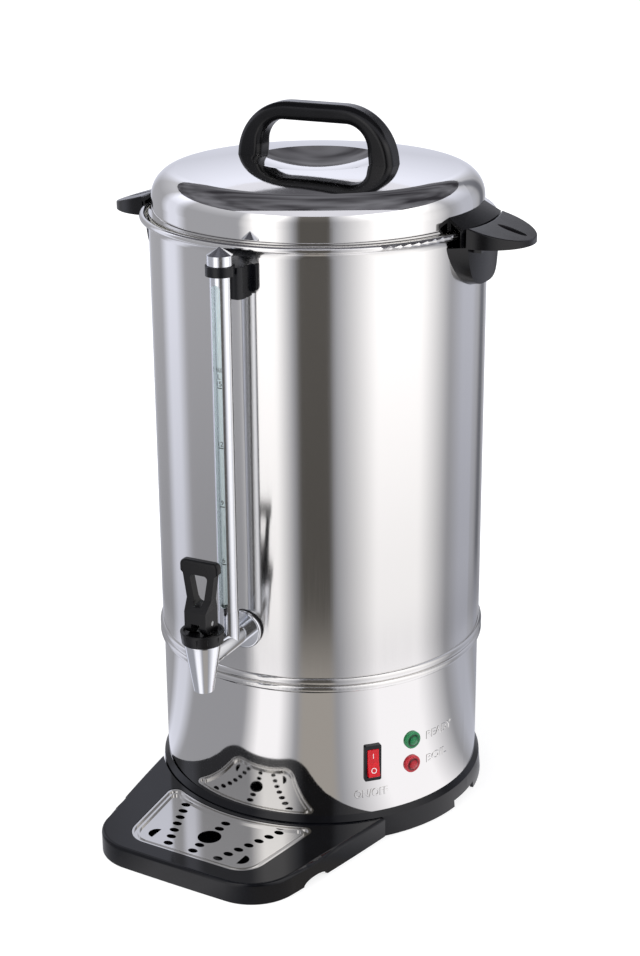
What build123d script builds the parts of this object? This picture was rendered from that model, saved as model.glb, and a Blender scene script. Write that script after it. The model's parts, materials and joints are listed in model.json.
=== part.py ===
from build123d import *
import math
import os

# Electric coffee urn: stainless tank on a skirted base, percolator inside, front tap with a level gauge.
# Millimetres.  Z is the vessel axis, with z = 0 on the table.  The tap faces -Y, the side handles lie on X.
# An azimuth is counted from the tap towards +X.

os.makedirs("parts", exist_ok=True)

# Sheet and clearances
SHEET = 0.8                     # stainless sheet of tank, skirt and lid
GAP = 0.3                       # between pieces that move past each other
FIT = 0.05                      # radial clearance of a pin, shaft or screw in its hole

# Base ring, feet and bottom plate
FOOT_H = 2.0                    # rubber pad below its boss
FOOT_R = 10.0
FOOT_INSET = 1.6                # pad edge to the inside of the ring wall
FOOT_PEG_R = 4.0
FOOT_PEG_H = 8.0
FEET = 4
RING_CLEAR = 1.0                # ring wall above the table
RING_H = 18.0                   # ring wall height
RING_FLARE = 5.3                # ring foot radius beyond the skirt
RING_DRAFT = 1.5                # ring wall leans in by this over its height
RING_WALL = 3.0
RING_SHOULDER = 4.7             # slope from the ring wall up to the skirt
RING_LIP_H = 8.0                # upstand inside the skirt
RING_LIP = 2.5
WEB_T = 3.0                     # inner web that carries the bottom plate
WEB_W = 28.0
ARCH_START, ARCH_END = 80.0, 95.5   # hand arch under each side handle, azimuths
ARCH_H = 6.0
PLATE_OVERLAP = 6.0             # bottom plate beyond the web's inner edge
PLATE_SCREWS = 6
VENT_SLOTS = 8
VENT_LENGTH, VENT_WIDTH = 34.0, 4.0

# Skirt and tank
SKIRT_H = 122.2                 # skirt from the ring shoulder to the seam
TANK_R = 140.0
BEAD_OUT = 2.5                  # the two beads at the seam stand out this far
BEAD_H = 6.8
FLOOR_RISE = 16.8               # tank floor above the seam
FLOOR_CORNER = 4.0
WELL_R = 26.0                   # pump well in the floor
WELL_DEPTH = 4.0
TANK_DEPTH = 349.3              # rim roll centre above the tank floor
RIM_OUT = 4.9                   # rim roll centre outside the wall
ROLL_R = 2.7
FLARE_R = 8.4

# Lid
LID_INSET = 2.6                 # lid wall inside the tank's outside
LID_SEAT = 1.0                  # hem above the rim roll centre
HEM_H = 2.0
HEM_OUT = 2.3                   # hem outside the lid wall
LID_PLUG = 9.0                  # lid skirt below the hem
LID_H = 43.0                    # edge of the sunk middle above the hem
LID_SHOULDER = 23.3
LID_DOME_R = 850.0
BOWL_R = 55.0
BOWL_DEPTH = 12.5
BOWL_EDGE = 2.0
SEAL_H = 5.2
RIVET_R = 1.5                   # rivets that hold the lugs
RIVET_UP = 2.9                  # above the lid's flange
RIVET_HALF = 9.0                # half angle between the two rivets of a lug
RIVET_HEAD_T = 1.0

# Lid handle
GRIP_HALF = 66.0                # half length outside, at the top
GRIP_RISE = 45.0                # top above the crown
GRIP_CORNER = 47.0
GRIP_FOOT = 21.8
GRIP_BAR = 15.0
GRIP_INNER_CORNER = 20.0
GRIP_W = 22.0
GRIP_ROUND = 6.0
GRIP_FOOT_FLARE = 5.3           # each leg's outer face leans in by this from foot to top
GRIP_INNER_FLARE = 1.5
GRIP_SCREW_R = 2.0
GRIP_SCREW_HEAD_R, GRIP_SCREW_HEAD_T = 4.2, 2.2
GRIP_SCREW_DEPTH = 14.0          # screw hole above the crown
GRIP_FOOT_BELOW = 7.0           # foot outline runs below the crown before the lid is cut from it

# Lid lugs and side handles
LUG_HALF = 15.5                 # half angle of a lug
LUG_TOP = 12.5                  # lug root above the lid hem
LUG_T = 3.3
LUG_LEG = 1.2
LUG_CLEAR = 0.8                 # leg to rim roll
LUG_NOSE = 1.4                  # lug edge beyond its leg
LUG_FOOT_T = 1.8
LEG_BELOW_ROLL = 6.3            # leg end below the rim roll
TAB_OUT = 1.8
TAB_H = 2.0
TAB_START, TAB_END = -13.0, -1.5
LIP_START, LIP_END = 1.5, 12.5
LIP_H = 2.4
EAR_R = 37.5
EAR_GAP = 0.9                   # lug nose to the ear's root
EAR_TOP = 5.7                   # ear root above the rim roll centre
EAR_SLOPE = 0.28
EAR_EDGE = 1.2
DIMPLE_START, DIMPLE_LENGTH = 6.0, 26.0
DIMPLE_WIDTH = 9.0
DIMPLE_DEPTH = 2.0
SHIELD_T = 10.8                 # shield outer face outside the tank wall
SHIELD_H = 37.0
SHIELD_HALF = 33.0              # half width of the outer face
SHIELD_FOOT_HALF = 43.0         # half width on the tank wall
SHELF_T = 5.0
HANDLE_SCREW_R = 2.4
HANDLE_SCREW_Z = (10.0, 27.0)   # screws below the top of the shield
HANDLE_SCREW_END = 2.5          # shield left in front of a screw hole
HANDLE_PLATE = (16.0, 34.0, 1.0)

# Tap
TAP_RISE = 29.0                 # tap axis above the tank floor
TAP_REACH = 68.5                # spout axis in front of the tank wall
GAUGE_REACH = 26.3              # gauge axis in front of the tank wall
ARM_R = 8.7
ARM_BORE = 5.0
GASKET_T = 1.6
GASKET_R = 15.6
ESCUTCHEON_R = 16.3
ESCUTCHEON_T = 2.6
SHANK_R = 8.0
BACKNUT_R = 14.0
BACKNUT_T = 6.0
WASHER_T = 2.0
SPOUT_TOP_R, SPOUT_END_R = 15.0, 8.0
SPOUT_UP = 17.3                 # cone top above the tap axis
SPOUT_DOWN = 25.2               # spout end below the tap axis
CHAMBER_R = 8.5
SEAT_DOWN = 7.7                 # valve seat below the tap axis
OUTLET_R = 4.2
NECK_R = 11.6
COLLAR_TOP_R, COLLAR_END_R = 17.6, 16.5
COLLAR_H = 10.0
COLLAR_RIBS = 12
COLLAR_RIB_R = 1.0
CUP_R = 15.2
CUP_DEPTH = 2.0
COLLAR_PLATE = 3.0

# Valve stem and lever
STEM_R = 3.6
STEM_FLANGE_R = 7.2
STEM_FLANGE_T = 1.5
STEM_FLANGE_UP = 8.0            # flange above the seat
SEAT_CUP_R = 7.4
SEAT_CUP_H = 5.0
TONGUE = 3.5                    # half thickness of the stem's tongue
HEEL_R = 8.5                    # cam radius of the lever's heel
HEEL_AHEAD = 2.5                # heel centre in front of the pin
PIN_R = 2.0
LEVER_HALF = 9.5
LEVER_BACK = 8.0
LEVER_BLOCK_H = 20.0
LEVER_WAIST_H = 29.0
LEVER_H = 60.4
LEVER_WAIST_HALF = 11.0
LEVER_SHOULDER_HALF = 14.0
LEVER_BAR_HALF = 17.0
LEVER_BAR_H = 11.0
LEVER_PLATE_T = 7.5
LEVER_EDGE = 2.2
LEVER_CORNER = 4.5
WINDOW_TOP_HALF, WINDOW_END_HALF = 8.2, 3.6
WINDOW_H = 25.5
WINDOW_CORNER = 3.0
SLOT_HALF = 3.8
SLOT_ABOVE_PIN = 1.5
SPRING_R = 5.6
SPRING_WIRE_R = 0.5
SPRING_TURNS = 4

# Level gauge
SOCKET_R = 8.6
SOCKET_UP = 27.4                # socket top above the tap axis
GLASS_R, GLASS_BORE = 5.6, 4.4
SEAL_R = 7.2
GAUGE_SEAL_H = 7.0
SHIELD_TUBE_R = 8.3
SHIELD_BORE = 7.0
SLOT_W = 7.5
SLOT_UP = 4.0                   # slot's lower end above the socket
SLOT_BELOW_RING = 14.0
RING_R = 11.4
RING_T = 7.7
RING_BELOW_RIM = 9.3            # bracket ring top below the rim roll centre
CAP_R = 10.1
CAP_H = 8.1
CAP_CONE_H = 6.0
TUBE_IN_CAP = 5.0
BRACKET_HALF = 14.3
BRACKET_H = 24.8
BRACKET_CHEEK_R = 16.0
BRACKET_DROP = 2.4              # block top below the ring top
BRACKET_PLATE_HALF = 18.0
BRACKET_PLATE_T = 3.0
BRACKET_PLATE_H = 22.0
BRACKET_SCREW_R = 2.0
BRACKET_SCREW_DEPTH = 12.0       # screw hole outside the tank wall

# Percolator
TUBE_R, TUBE_BORE = 5.0, 4.0
PUMP_TUBE_H = 318.0
PUMP_BASE_R = 23.0
PUMP_BASE_H = 14.0
PUMP_SHELL = 1.2
PUMP_SOCKET = 5.0               # base bore that holds the tube
STOP_DOWN = 86.3                # basket stop below the end of the tube
STOP_T = 2.0
STOP_R = 9.0
BASKET_R = 85.0
BASKET_H = 73.0
SLEEVE_WALL = 1.2
SLEEVE_H = 66.0
COVER_RIM = 1.5
COVER_LIP_H = 6.0
HOLE_R = 1.8
BASKET_RING_SHARE = (0.3, 0.5, 0.7, 0.9)     # radii of the rings of holes, in basket radii
BASKET_HOLE_COUNT = (8, 14, 20, 26)
COVER_RING_SHARE = (0.35, 0.6, 0.8)
COVER_HOLE_COUNT = (8, 16, 22)

# Drip tray and grid
TRAY_TOP = 19.0
TRAY_CLEAR = 0.6                # tray above the table
TRAY_TURN = -3.8                # tray round the tank axis from the tap, in degrees
TRAY_REACH = 100.6              # front of the tray in front of the tank wall
TRAY_FRONT_HALF = 84.5
TRAY_CORNER = 43.0
TRAY_BULGE = 1.0
TRAY_WAIST_IN = 39.2            # tray's waist inside the base ring's foot
TRAY_BACK_IN = 2.1              # tray's back corners inside the base ring's foot
TRAY_BACK_SHARE = 0.6           # back corners ahead of the tank's axis, in tank radii
TRAY_WALL = 2.5
TRAY_FLOOR = 4.0
TRAY_EDGE = 3.0
NOTCH_R, NOTCH_H = 14.0, 5.0    # finger arch in each flank
NOTCH_BEHIND = 63.0             # arch behind the tray front
GRID_BACK_HALF, GRID_FRONT_HALF = 75.0, 61.0
GRID_FRONT_IN = 17.5            # grid front behind the tray front
GRID_BACK_OUT = 9.5             # grid back arc in front of the tank wall
GRID_CORNER, GRID_BACK_CORNER = 22.0, 7.0
GRID_LEDGE = 3.0
GRID_DEPTH = 2.0                # grid plate below the tray top
GRID_BEAD = 1.6                 # two raised beads round the grid
GRID_BEAD_H = 1.6
GRID_BEAD_PITCH = 4.2
GRID_ROW = 7                    # holes in each side row
GRID_ROW_BACK = (47.0, -12.2)   # first hole of a side row, from the tank front
GRID_ROW_FRONT = (24.6, -71.4)
GRID_HOLE = (8.6, 6.0)
GRID_DRAIN_R = 10.0
GRID_DRAIN_OUT = 46.6
GRID_MIDDLE = (21.7, 31.5, 61.4, 71.5)
CRESCENT_AT = (41.8, 63.4)
CRESCENT_R = 7.0

# Controls on the skirt
SWITCH_AZIMUTH, SWITCH_UP = 44.3, 47.2
BEZEL_W, BEZEL_H, BEZEL_T = 14.8, 33.0, 2.0
SWITCH_BODY_W, SWITCH_BODY_H, SWITCH_DEPTH = 12.6, 30.0, 18.0
ROCKER_W, ROCKER_H = 9.8, 25.0
ROCKER_DEPTH = 6.0
ROCKER_TILT = 9.0
ROCKER_PIVOT_R = 1.5
LAMP_AZIMUTH = 59.8
READY_UP, BOIL_UP = 59.7, 37.1
LAMP_R, LAMP_T, LAMP_DOME = 7.75, 2.4, 2.0
LAMP_BODY_R, LAMP_DEPTH = 6.0, 22.0
CLIP_R, CLIP_T = 8.5, 1.5

# Power inlet at the back
INLET_UP = 36.0
INLET_FLANGE = (50.0, 24.0, 3.0)
INLET_BODY = (27.0, 20.0, 24.0)
INLET_RECESS = (23.0, 15.6, 17.0)
INLET_SCREW_PITCH = 40.0
INLET_SCREW_R = 1.8
INLET_CORNER = 4.0
PIN_SIZE = (4.0, 2.0)
PIN_PITCH = 7.0
PIN_OUT, PIN_TAIL = 12.0, 8.0

# Heating and wiring
ELEMENT_R, ELEMENT_TUBE_R = 62.0, 4.0
ELEMENT_GAP = 15.0              # half angle between the element's ends
ELEMENT_DROP = 26.0
KEEP_R, KEEP_TUBE_R = 40.0, 3.0
KEEP_DROP = 22.0
CLAMP_R, CLAMP_T = 76.0, 1.5
STUD_R = 3.0
NUT_R, NUT_T = 6.3, 5.0
WASHER_R = 9.0
SENSOR_RADIUS = 92.0
SENSOR_AZIMUTHS = (140.0, 220.0)
SENSOR_R = 8.0
STRAP_W, STRAP_T = 16.0, 1.2
BLOCK_SIZE = (44.0, 18.0, 16.0)
BLOCK_Y = 60.0
LEAD_R = 1.3
LEAD_BEND = 9.0
LEAD_RUN = 16.0                 # straight run before a terminal
LEAD_SIDE = 4.0                 # lead to the middle of the terminal block

# Heights and radii that follow from the sizes above
SKIRT_R = TANK_R - SHEET
TANK_BORE = TANK_R - SHEET
BEAD_R = TANK_R + BEAD_OUT
RING_TOP = RING_CLEAR + RING_H
SKIRT_Z = RING_TOP + RING_SHOULDER
SEAM_Z = SKIRT_Z + SKIRT_H
FLOOR_Z = SEAM_Z + FLOOR_RISE
RIM_Z = FLOOR_Z + TANK_DEPTH
RIM_R = TANK_R + RIM_OUT
FLARE_MID = FLARE_R + SHEET / 2
FLARE_ANGLE = math.acos((FLARE_R - RIM_OUT) / FLARE_MID)
FLARE_Z = RIM_Z - FLARE_MID * math.sin(FLARE_ANGLE)
RING_FOOT_R = SKIRT_R + RING_FLARE
RING_TOP_R = RING_FOOT_R - RING_DRAFT
RING_INSIDE = RING_TOP_R - RING_WALL
WEB_R = RING_INSIDE - WEB_W
WEB_Z = RING_TOP - WEB_T
PLATE_R = WEB_R + PLATE_OVERLAP
PLATE_Z = WEB_Z - SHEET
FOOT_CENTRE = RING_INSIDE - FOOT_INSET - FOOT_R

LID_R = TANK_R - LID_INSET
HEM_Z = RIM_Z + LID_SEAT
FLANGE_Z = HEM_Z + HEM_H
CROWN_Z = HEM_Z + LID_H
DOME_Z = CROWN_Z - math.sqrt(LID_DOME_R ** 2 - BOWL_R ** 2)
SHOULDER_R = LID_R - LID_SHOULDER
SHOULDER_Z = DOME_Z + math.sqrt((LID_DOME_R - LID_SHOULDER) ** 2 - SHOULDER_R ** 2)
BOWL_Z = CROWN_Z - BOWL_DEPTH
DISH_R = (BOWL_R ** 2 + BOWL_DEPTH ** 2) / (2 * BOWL_DEPTH)
DISH_Z = BOWL_Z + DISH_R
GRIP_TOP = CROWN_Z + GRIP_RISE
RIVET_Z = FLANGE_Z + RIVET_UP

LEG_R = RIM_R + ROLL_R + LUG_CLEAR
LEG_OUT = LEG_R + LUG_LEG
NOSE_R = LEG_OUT + LUG_NOSE
TAB_R = LEG_OUT + TAB_OUT
EAR_ROOT = NOSE_R + EAR_GAP
LEG_Z = RIM_Z - ROLL_R - LEG_BELOW_ROLL
SHIELD_TOP = LEG_Z - 1.0
SHIELD_R = TANK_R + SHIELD_T
EAR_CENTRE = EAR_ROOT + 0.1

TAP_Z = FLOOR_Z + TAP_RISE
SPOUT_Y = -(TANK_R + TAP_REACH)
GAUGE_Y = -(TANK_R + GAUGE_REACH)
SPOUT_TOP = TAP_Z + SPOUT_UP
SPOUT_END = TAP_Z - SPOUT_DOWN
SEAT_Z = TAP_Z - SEAT_DOWN
COLLAR_TOP = SPOUT_TOP + COLLAR_H
CUP_FLOOR = COLLAR_TOP - CUP_DEPTH
PLATE_UNDER = CUP_FLOOR - COLLAR_PLATE
PIN_Z = CUP_FLOOR + GAP + HEEL_R
LEVER_Z = CUP_FLOOR + GAP
SOCKET_TOP = TAP_Z + SOCKET_UP
BRACKET_TOP = RIM_Z - RING_BELOW_RIM
BRACKET_BLOCK_TOP = BRACKET_TOP - BRACKET_DROP
BRACKET_SCREW_Z = BRACKET_BLOCK_TOP - BRACKET_H / 2
TUBE_TOP = BRACKET_TOP + TUBE_IN_CAP
GAUGE_SEAL_Z = SOCKET_TOP - GAUGE_SEAL_H - 1.0
PUMP_Z = FLOOR_Z - WELL_DEPTH + GAP
TUBE_Z = PUMP_Z + PUMP_BASE_H - PUMP_SOCKET * 2
TUBE_END = TUBE_Z + PUMP_TUBE_H
STOP_Z = TUBE_END - STOP_DOWN
BASKET_Z = STOP_Z + STOP_T + GAP
BASKET_TOP = BASKET_Z + BASKET_H
ELEMENT_Z = FLOOR_Z - SHEET - ELEMENT_TUBE_R
CLAMP_Z = ELEMENT_Z - ELEMENT_TUBE_R - CLAMP_T
STRAP_Z = CLAMP_Z - STRAP_T
TRAY_FRONT = -(TANK_R + TRAY_REACH)
TRAY_BACK_R = RING_FOOT_R + GAP
TRAY_WAIST_HALF = RING_FOOT_R - TRAY_WAIST_IN
TRAY_BACK = -TANK_R * TRAY_BACK_SHARE
TRAY_BACK_HALF = math.sqrt((RING_FOOT_R - TRAY_BACK_IN) ** 2 - TRAY_BACK ** 2)
GRID_Z = TRAY_TOP - GRID_DEPTH - SHEET


# ---------------------------------------------------------------------------
# Shared makers
# ---------------------------------------------------------------------------
def turned(*outline):
    """Solid of revolution about the vessel axis from (radius, height) corners."""
    return revolve(Plane.XZ * make_face(Polyline(*outline, close=True)), Axis.Z)


def tube(bore, radius, bottom, top):
    return turned((bore, bottom), (radius, bottom), (radius, top), (bore, top))


def rod(radius, bottom, top, x=0, y=0):
    return Pos(x, y, bottom) * Cylinder(radius, top - bottom, align=(Align.CENTER, Align.CENTER, Align.MIN))


def block(x, y, z):
    """Box between two limits on each axis."""
    low = (Align.MIN, Align.MIN, Align.MIN)
    return Pos(x[0], y[0], z[0]) * Box(x[1] - x[0], y[1] - y[0], z[1] - z[0], align=low)


def heading(azimuth, radius):
    angle = math.radians(azimuth)
    return radius * math.sin(angle), -radius * math.cos(angle)


def on_side(azimuth, radius, height):
    """Plane on the vessel's side: X to the right along the surface, Y up, Z outward."""
    x, y = heading(azimuth, radius)
    return Plane(origin=(x, y, height), x_dir=(*heading(azimuth + 90, 1), 0), z_dir=(*heading(azimuth, 1), 0))


def radial_rod(azimuth, height, radius, inner, outer):
    return on_side(azimuth, inner, height) * rod(radius, 0, outer - inner)


def sector(radius, start, end, bottom, top):
    """Wedge about the vessel axis that covers a disc of this radius between two azimuths."""
    middle = heading((start + end) / 2, radius / math.cos(math.radians((end - start) / 2)))
    corners = ((0, 0), heading(start, radius), middle, heading(end, radius))
    return Pos(0, 0, bottom) * extrude(make_face(Polyline(*corners, close=True)), top - bottom)


def vertex_near(face, x, y):
    return min(face.vertices(), key=lambda v: math.hypot(v.X - x, v.Y - y))


def screw(shank, head, head_h, length):
    """Pan-head screw: head below the local XY plane, shank up along Z."""
    dome = rod(head, -head_h, 0)
    dome = fillet(dome.edges().sort_by(Axis.Z)[0], head_h * 0.45)
    slot = block((-head * 0.8, head * 0.8), (-0.4, 0.4), (-head_h - 1, -head_h * 0.6))
    return dome - slot + rod(shank, -head_h * 0.3, length)


def hex_nut(bore, thickness):
    return extrude(RegularPolygon(NUT_R, 6), thickness) - rod(bore, -1, thickness + 1)


def mirrored(points):
    """The right-hand points followed by their mirror images, bottom to top and back down."""
    return list(points) + [(-x, y) for x, y in reversed(points)]


def wire(points):
    path = FilletPolyline(*points, radius=LEAD_BEND)
    return sweep(Plane(path @ 0, z_dir=path % 0) * Circle(LEAD_R), path=path)


# ---------------------------------------------------------------------------
# Base
# ---------------------------------------------------------------------------
def foot_places():
    return [heading(180 / FEET + 360 / FEET * i, FOOT_CENTRE) for i in range(FEET)]


def plate_screw_places():
    radius = (WEB_R + PLATE_R) / 2
    return [heading(360 / PLATE_SCREWS * i, radius) for i in range(PLATE_SCREWS)]


def base_ring():
    lip_r = SKIRT_R - SHEET
    outside = [(RING_FOOT_R, RING_CLEAR), (RING_TOP_R, RING_TOP), (SKIRT_R, SKIRT_Z), (lip_r, SKIRT_Z)]
    lip_z = SKIRT_Z + RING_LIP_H
    lip = [(lip_r, lip_z), (lip_r - RING_LIP, lip_z), (lip_r - RING_LIP, RING_TOP)]
    web = [(WEB_R, RING_TOP), (WEB_R, WEB_Z), (RING_INSIDE, WEB_Z), (RING_FOOT_R - RING_WALL, RING_CLEAR)]
    ring = turned(*outside, *lip, *web)
    for x, y in foot_places():
        ring += rod(FOOT_R, FOOT_H, WEB_Z, x, y)
        ring -= rod(FOOT_PEG_R, FOOT_H - 1, FOOT_H + FOOT_PEG_H + GAP, x, y)
    for x, y in plate_screw_places():
        ring -= rod(BRACKET_SCREW_R, WEB_Z - 1, RING_TOP + 1, x, y)
    for turn in (0, 180):
        arch = sector(RING_FOOT_R + 5, ARCH_START, ARCH_END, -1, RING_CLEAR + ARCH_H)
        ring -= Rot(0, 0, turn) * (arch - rod(FOOT_CENTRE, -2, RING_TOP))
    return ring


def rubber_feet():
    feet = []
    for x, y in foot_places():
        pad = rod(FOOT_R, 0, FOOT_H, x, y)
        pad = chamfer(pad.edges().sort_by(Axis.Z)[0], 0.5)
        feet.append(pad + rod(FOOT_PEG_R - FIT, FOOT_H - 0.5, FOOT_H + FOOT_PEG_H, x, y))
    return Compound(feet)


def bottom_plate():
    plate = tube(STUD_R + FIT, PLATE_R, PLATE_Z, WEB_Z)
    for x, y in plate_screw_places():
        plate -= rod(BRACKET_SCREW_R, PLATE_Z - 1, WEB_Z + 1, x, y)
    slot = extrude(SlotOverall(VENT_LENGTH, VENT_WIDTH), SHEET + 2)
    for i in range(VENT_SLOTS):
        turn = 360 / VENT_SLOTS * (i + 0.5)
        plate -= Rot(0, 0, turn) * Pos(WEB_R * 0.75, 0, PLATE_Z - 1) * slot
    return plate


def bottom_screws():
    one = screw(BRACKET_SCREW_R - FIT, BRACKET_SCREW_R * 1.9, 2.0, WEB_T + SHEET - GAP)
    return Compound([Pos(x, y, PLATE_Z) * one for x, y in plate_screw_places()])


# ---------------------------------------------------------------------------
# Skirt and tank
# ---------------------------------------------------------------------------
def bead(wall_r, bottom):
    """Half-round bead of revolution on the outside of a wall."""
    middle = bottom + BEAD_H / 2
    section = Pos(wall_r, middle) * Ellipse(BEAD_R - wall_r, BEAD_H / 2)
    section -= Pos(wall_r - SHEET / 2 - BEAD_H, middle) * Rectangle(BEAD_H * 2, BEAD_H * 2)
    return revolve(Plane.XZ * section, Axis.Z)


def skirt_shell():
    shell = tube(SKIRT_R - SHEET, SKIRT_R, SKIRT_Z, SEAM_Z) + bead(SKIRT_R, SEAM_Z - BEAD_H)
    half_w, half_h = SWITCH_BODY_W / 2 + FIT, SWITCH_BODY_H / 2 + FIT
    shell -= switch_place() * block((-half_w, half_w), (-half_h, half_h), (-10, 10))
    for up in (READY_UP, BOIL_UP):
        shell -= radial_rod(LAMP_AZIMUTH, SKIRT_Z + up, LAMP_BODY_R + FIT, SKIRT_R - 5, SKIRT_R + 5)
    half_w, half_h = INLET_BODY[0] / 2 + FIT, INLET_BODY[1] / 2 + FIT
    shell -= inlet_place() * block((-half_w, half_w), (-half_h, half_h), (-10, 10))
    for side in inlet_screw_planes():
        shell -= side * rod(INLET_SCREW_R, -10, 10)
    return shell


def tank_wall():
    wall = tube(TANK_BORE, TANK_R, SEAM_Z, FLARE_Z) + bead(TANK_R, SEAM_Z)
    centre_r = TANK_R + FLARE_R
    band = tube(TANK_BORE, centre_r, FLARE_Z, RIM_Z)
    ball_big = revolve(Plane.XZ * (Pos(centre_r, FLARE_Z) * Circle(FLARE_R + SHEET)), Axis.Z)
    ball_small = revolve(Plane.XZ * (Pos(centre_r, FLARE_Z) * Circle(FLARE_R)), Axis.Z)
    wall += (band & ball_big) - ball_small
    wall += revolve(Plane.XZ * (Pos(RIM_R, RIM_Z) * Circle(ROLL_R)), Axis.Z)
    wall -= radial_rod(0, TAP_Z, SHANK_R + FIT, TANK_R - 9, TANK_R + 3)
    wall -= radial_rod(0, BRACKET_SCREW_Z, BRACKET_SCREW_R, TANK_R - 9, TANK_R + 3)
    for azimuth in (90, 270):
        for down in HANDLE_SCREW_Z:
            wall -= radial_rod(azimuth, SHIELD_TOP - down, HANDLE_SCREW_R, TANK_R - 9, TANK_R + 3)
    return wall


def tank_floor():
    skin = make_face(
        Polyline(
            (0, FLOOR_Z - WELL_DEPTH), (WELL_R, FLOOR_Z - WELL_DEPTH), (WELL_R, FLOOR_Z),
            (TANK_BORE, FLOOR_Z), (TANK_BORE, SEAM_Z), (TANK_BORE - SHEET, SEAM_Z),
            (TANK_BORE - SHEET, FLOOR_Z - SHEET), (WELL_R + SHEET, FLOOR_Z - SHEET),
            (WELL_R + SHEET, FLOOR_Z - WELL_DEPTH - SHEET), (0, FLOOR_Z - WELL_DEPTH - SHEET), close=True,
        )
    )
    outer = skin.vertices().group_by(Axis.X)[-1].sort_by(Axis.Y)[-1]
    skin = fillet(outer, FLOOR_CORNER)
    inner = skin.vertices().filter_by(lambda v: abs(v.X - TANK_BORE + SHEET) < 0.01).sort_by(Axis.Y)[-1]
    skin = fillet(inner, FLOOR_CORNER - SHEET)
    return revolve(Plane.XZ * skin, Axis.Z)


# ---------------------------------------------------------------------------
# Heating and wiring, in the skirt
# ---------------------------------------------------------------------------
def sheathed_element(radius, tube_r, height, drop):
    """Open ring under the tank floor with its two cold ends turned down."""
    section = Plane.XZ * (Pos(radius, height) * Circle(tube_r))
    sweep_angle = 360 - 2 * ELEMENT_GAP
    ring = Rot(0, 0, 90 + ELEMENT_GAP) * revolve(section, Axis.Z, sweep_angle)
    for turn in (180 - ELEMENT_GAP, 180 + ELEMENT_GAP):
        x, y = heading(turn, radius)
        ring += Pos(x, y, height) * Sphere(tube_r)
        ring += rod(tube_r, height - drop, height, x, y)
    return ring


def heating_element():
    return sheathed_element(ELEMENT_R, ELEMENT_TUBE_R, ELEMENT_Z, ELEMENT_DROP)


def keep_warm_element():
    height = FLOOR_Z - SHEET - KEEP_TUBE_R
    return sheathed_element(KEEP_R, KEEP_TUBE_R, height, KEEP_DROP)


def heater_clamp():
    plate = tube(STUD_R + FIT, CLAMP_R, CLAMP_Z, CLAMP_Z + CLAMP_T)
    for radius, tube_r in ((ELEMENT_R, ELEMENT_TUBE_R), (KEEP_R, KEEP_TUBE_R)):
        for turn in (180 - ELEMENT_GAP, 180 + ELEMENT_GAP):
            x, y = heading(turn, radius)
            plate -= rod(tube_r + GAP, CLAMP_Z - 1, CLAMP_Z + CLAMP_T + 1, x, y)
    return plate


def tie_stud():
    return rod(STUD_R, PLATE_Z - SHEET - NUT_T - 1, FLOOR_Z - WELL_DEPTH - SHEET)


def tie_nuts():
    nut = hex_nut(STUD_R + FIT, NUT_T)
    washer = tube(STUD_R + FIT, WASHER_R, PLATE_Z - SHEET, PLATE_Z)
    return Compound([Pos(0, 0, CLAMP_Z - NUT_T) * nut, washer, Pos(0, 0, PLATE_Z - SHEET - NUT_T) * nut])


def sensor_height():
    return FLOOR_Z - SHEET - STRAP_Z - STRAP_T


def thermostat():
    x, y = heading(SENSOR_AZIMUTHS[0], SENSOR_RADIUS)
    body = rod(SENSOR_R, 0, sensor_height()) - rod(SENSOR_R * 0.45, sensor_height() - 1, sensor_height() + 1)
    for side in (-1, 1):
        body += block(sorted((0, side * (SENSOR_R + 6))), (-2.4, 2.4), (2, 2.8))
    return Pos(x, y, STRAP_Z + STRAP_T) * Rot(0, 0, SENSOR_AZIMUTHS[0]) * body


def thermal_cutout():
    x, y = heading(SENSOR_AZIMUTHS[1], SENSOR_RADIUS)
    body = block((-SENSOR_R, SENSOR_R), (-SENSOR_R * 0.7, SENSOR_R * 0.7), (0, sensor_height()))
    tabs = rod(SENSOR_R * 0.3, -SENSOR_R - 5, SENSOR_R + 5)
    body += Rot(0, 90, 0) * tabs.moved(Pos(-sensor_height() / 2, 0, 0))
    return Pos(x, y, STRAP_Z + STRAP_T) * Rot(0, 0, SENSOR_AZIMUTHS[1]) * body


def sensor_straps():
    straps = []
    for azimuth in SENSOR_AZIMUTHS:
        inner, outer = CLAMP_R - STRAP_W, SENSOR_RADIUS + SENSOR_R + 2
        strap = block((-STRAP_W / 2, STRAP_W / 2), (-outer, -inner), (STRAP_Z, STRAP_Z + STRAP_T))
        straps.append(Rot(0, 0, azimuth) * strap)
    return Compound(straps)


def terminal_block():
    half_x, half_y = BLOCK_SIZE[0] / 2, BLOCK_SIZE[1] / 2
    body = block((-half_x, half_x), (BLOCK_Y - half_y, BLOCK_Y + half_y), (WEB_Z, WEB_Z + BLOCK_SIZE[2]))
    groove_z = WEB_Z + BLOCK_SIZE[2] - 3
    groove = block((-half_x - 1, half_x + 1), (BLOCK_Y - 1.5, BLOCK_Y + 1.5), (groove_z, SEAM_Z))
    return body - groove


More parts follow.
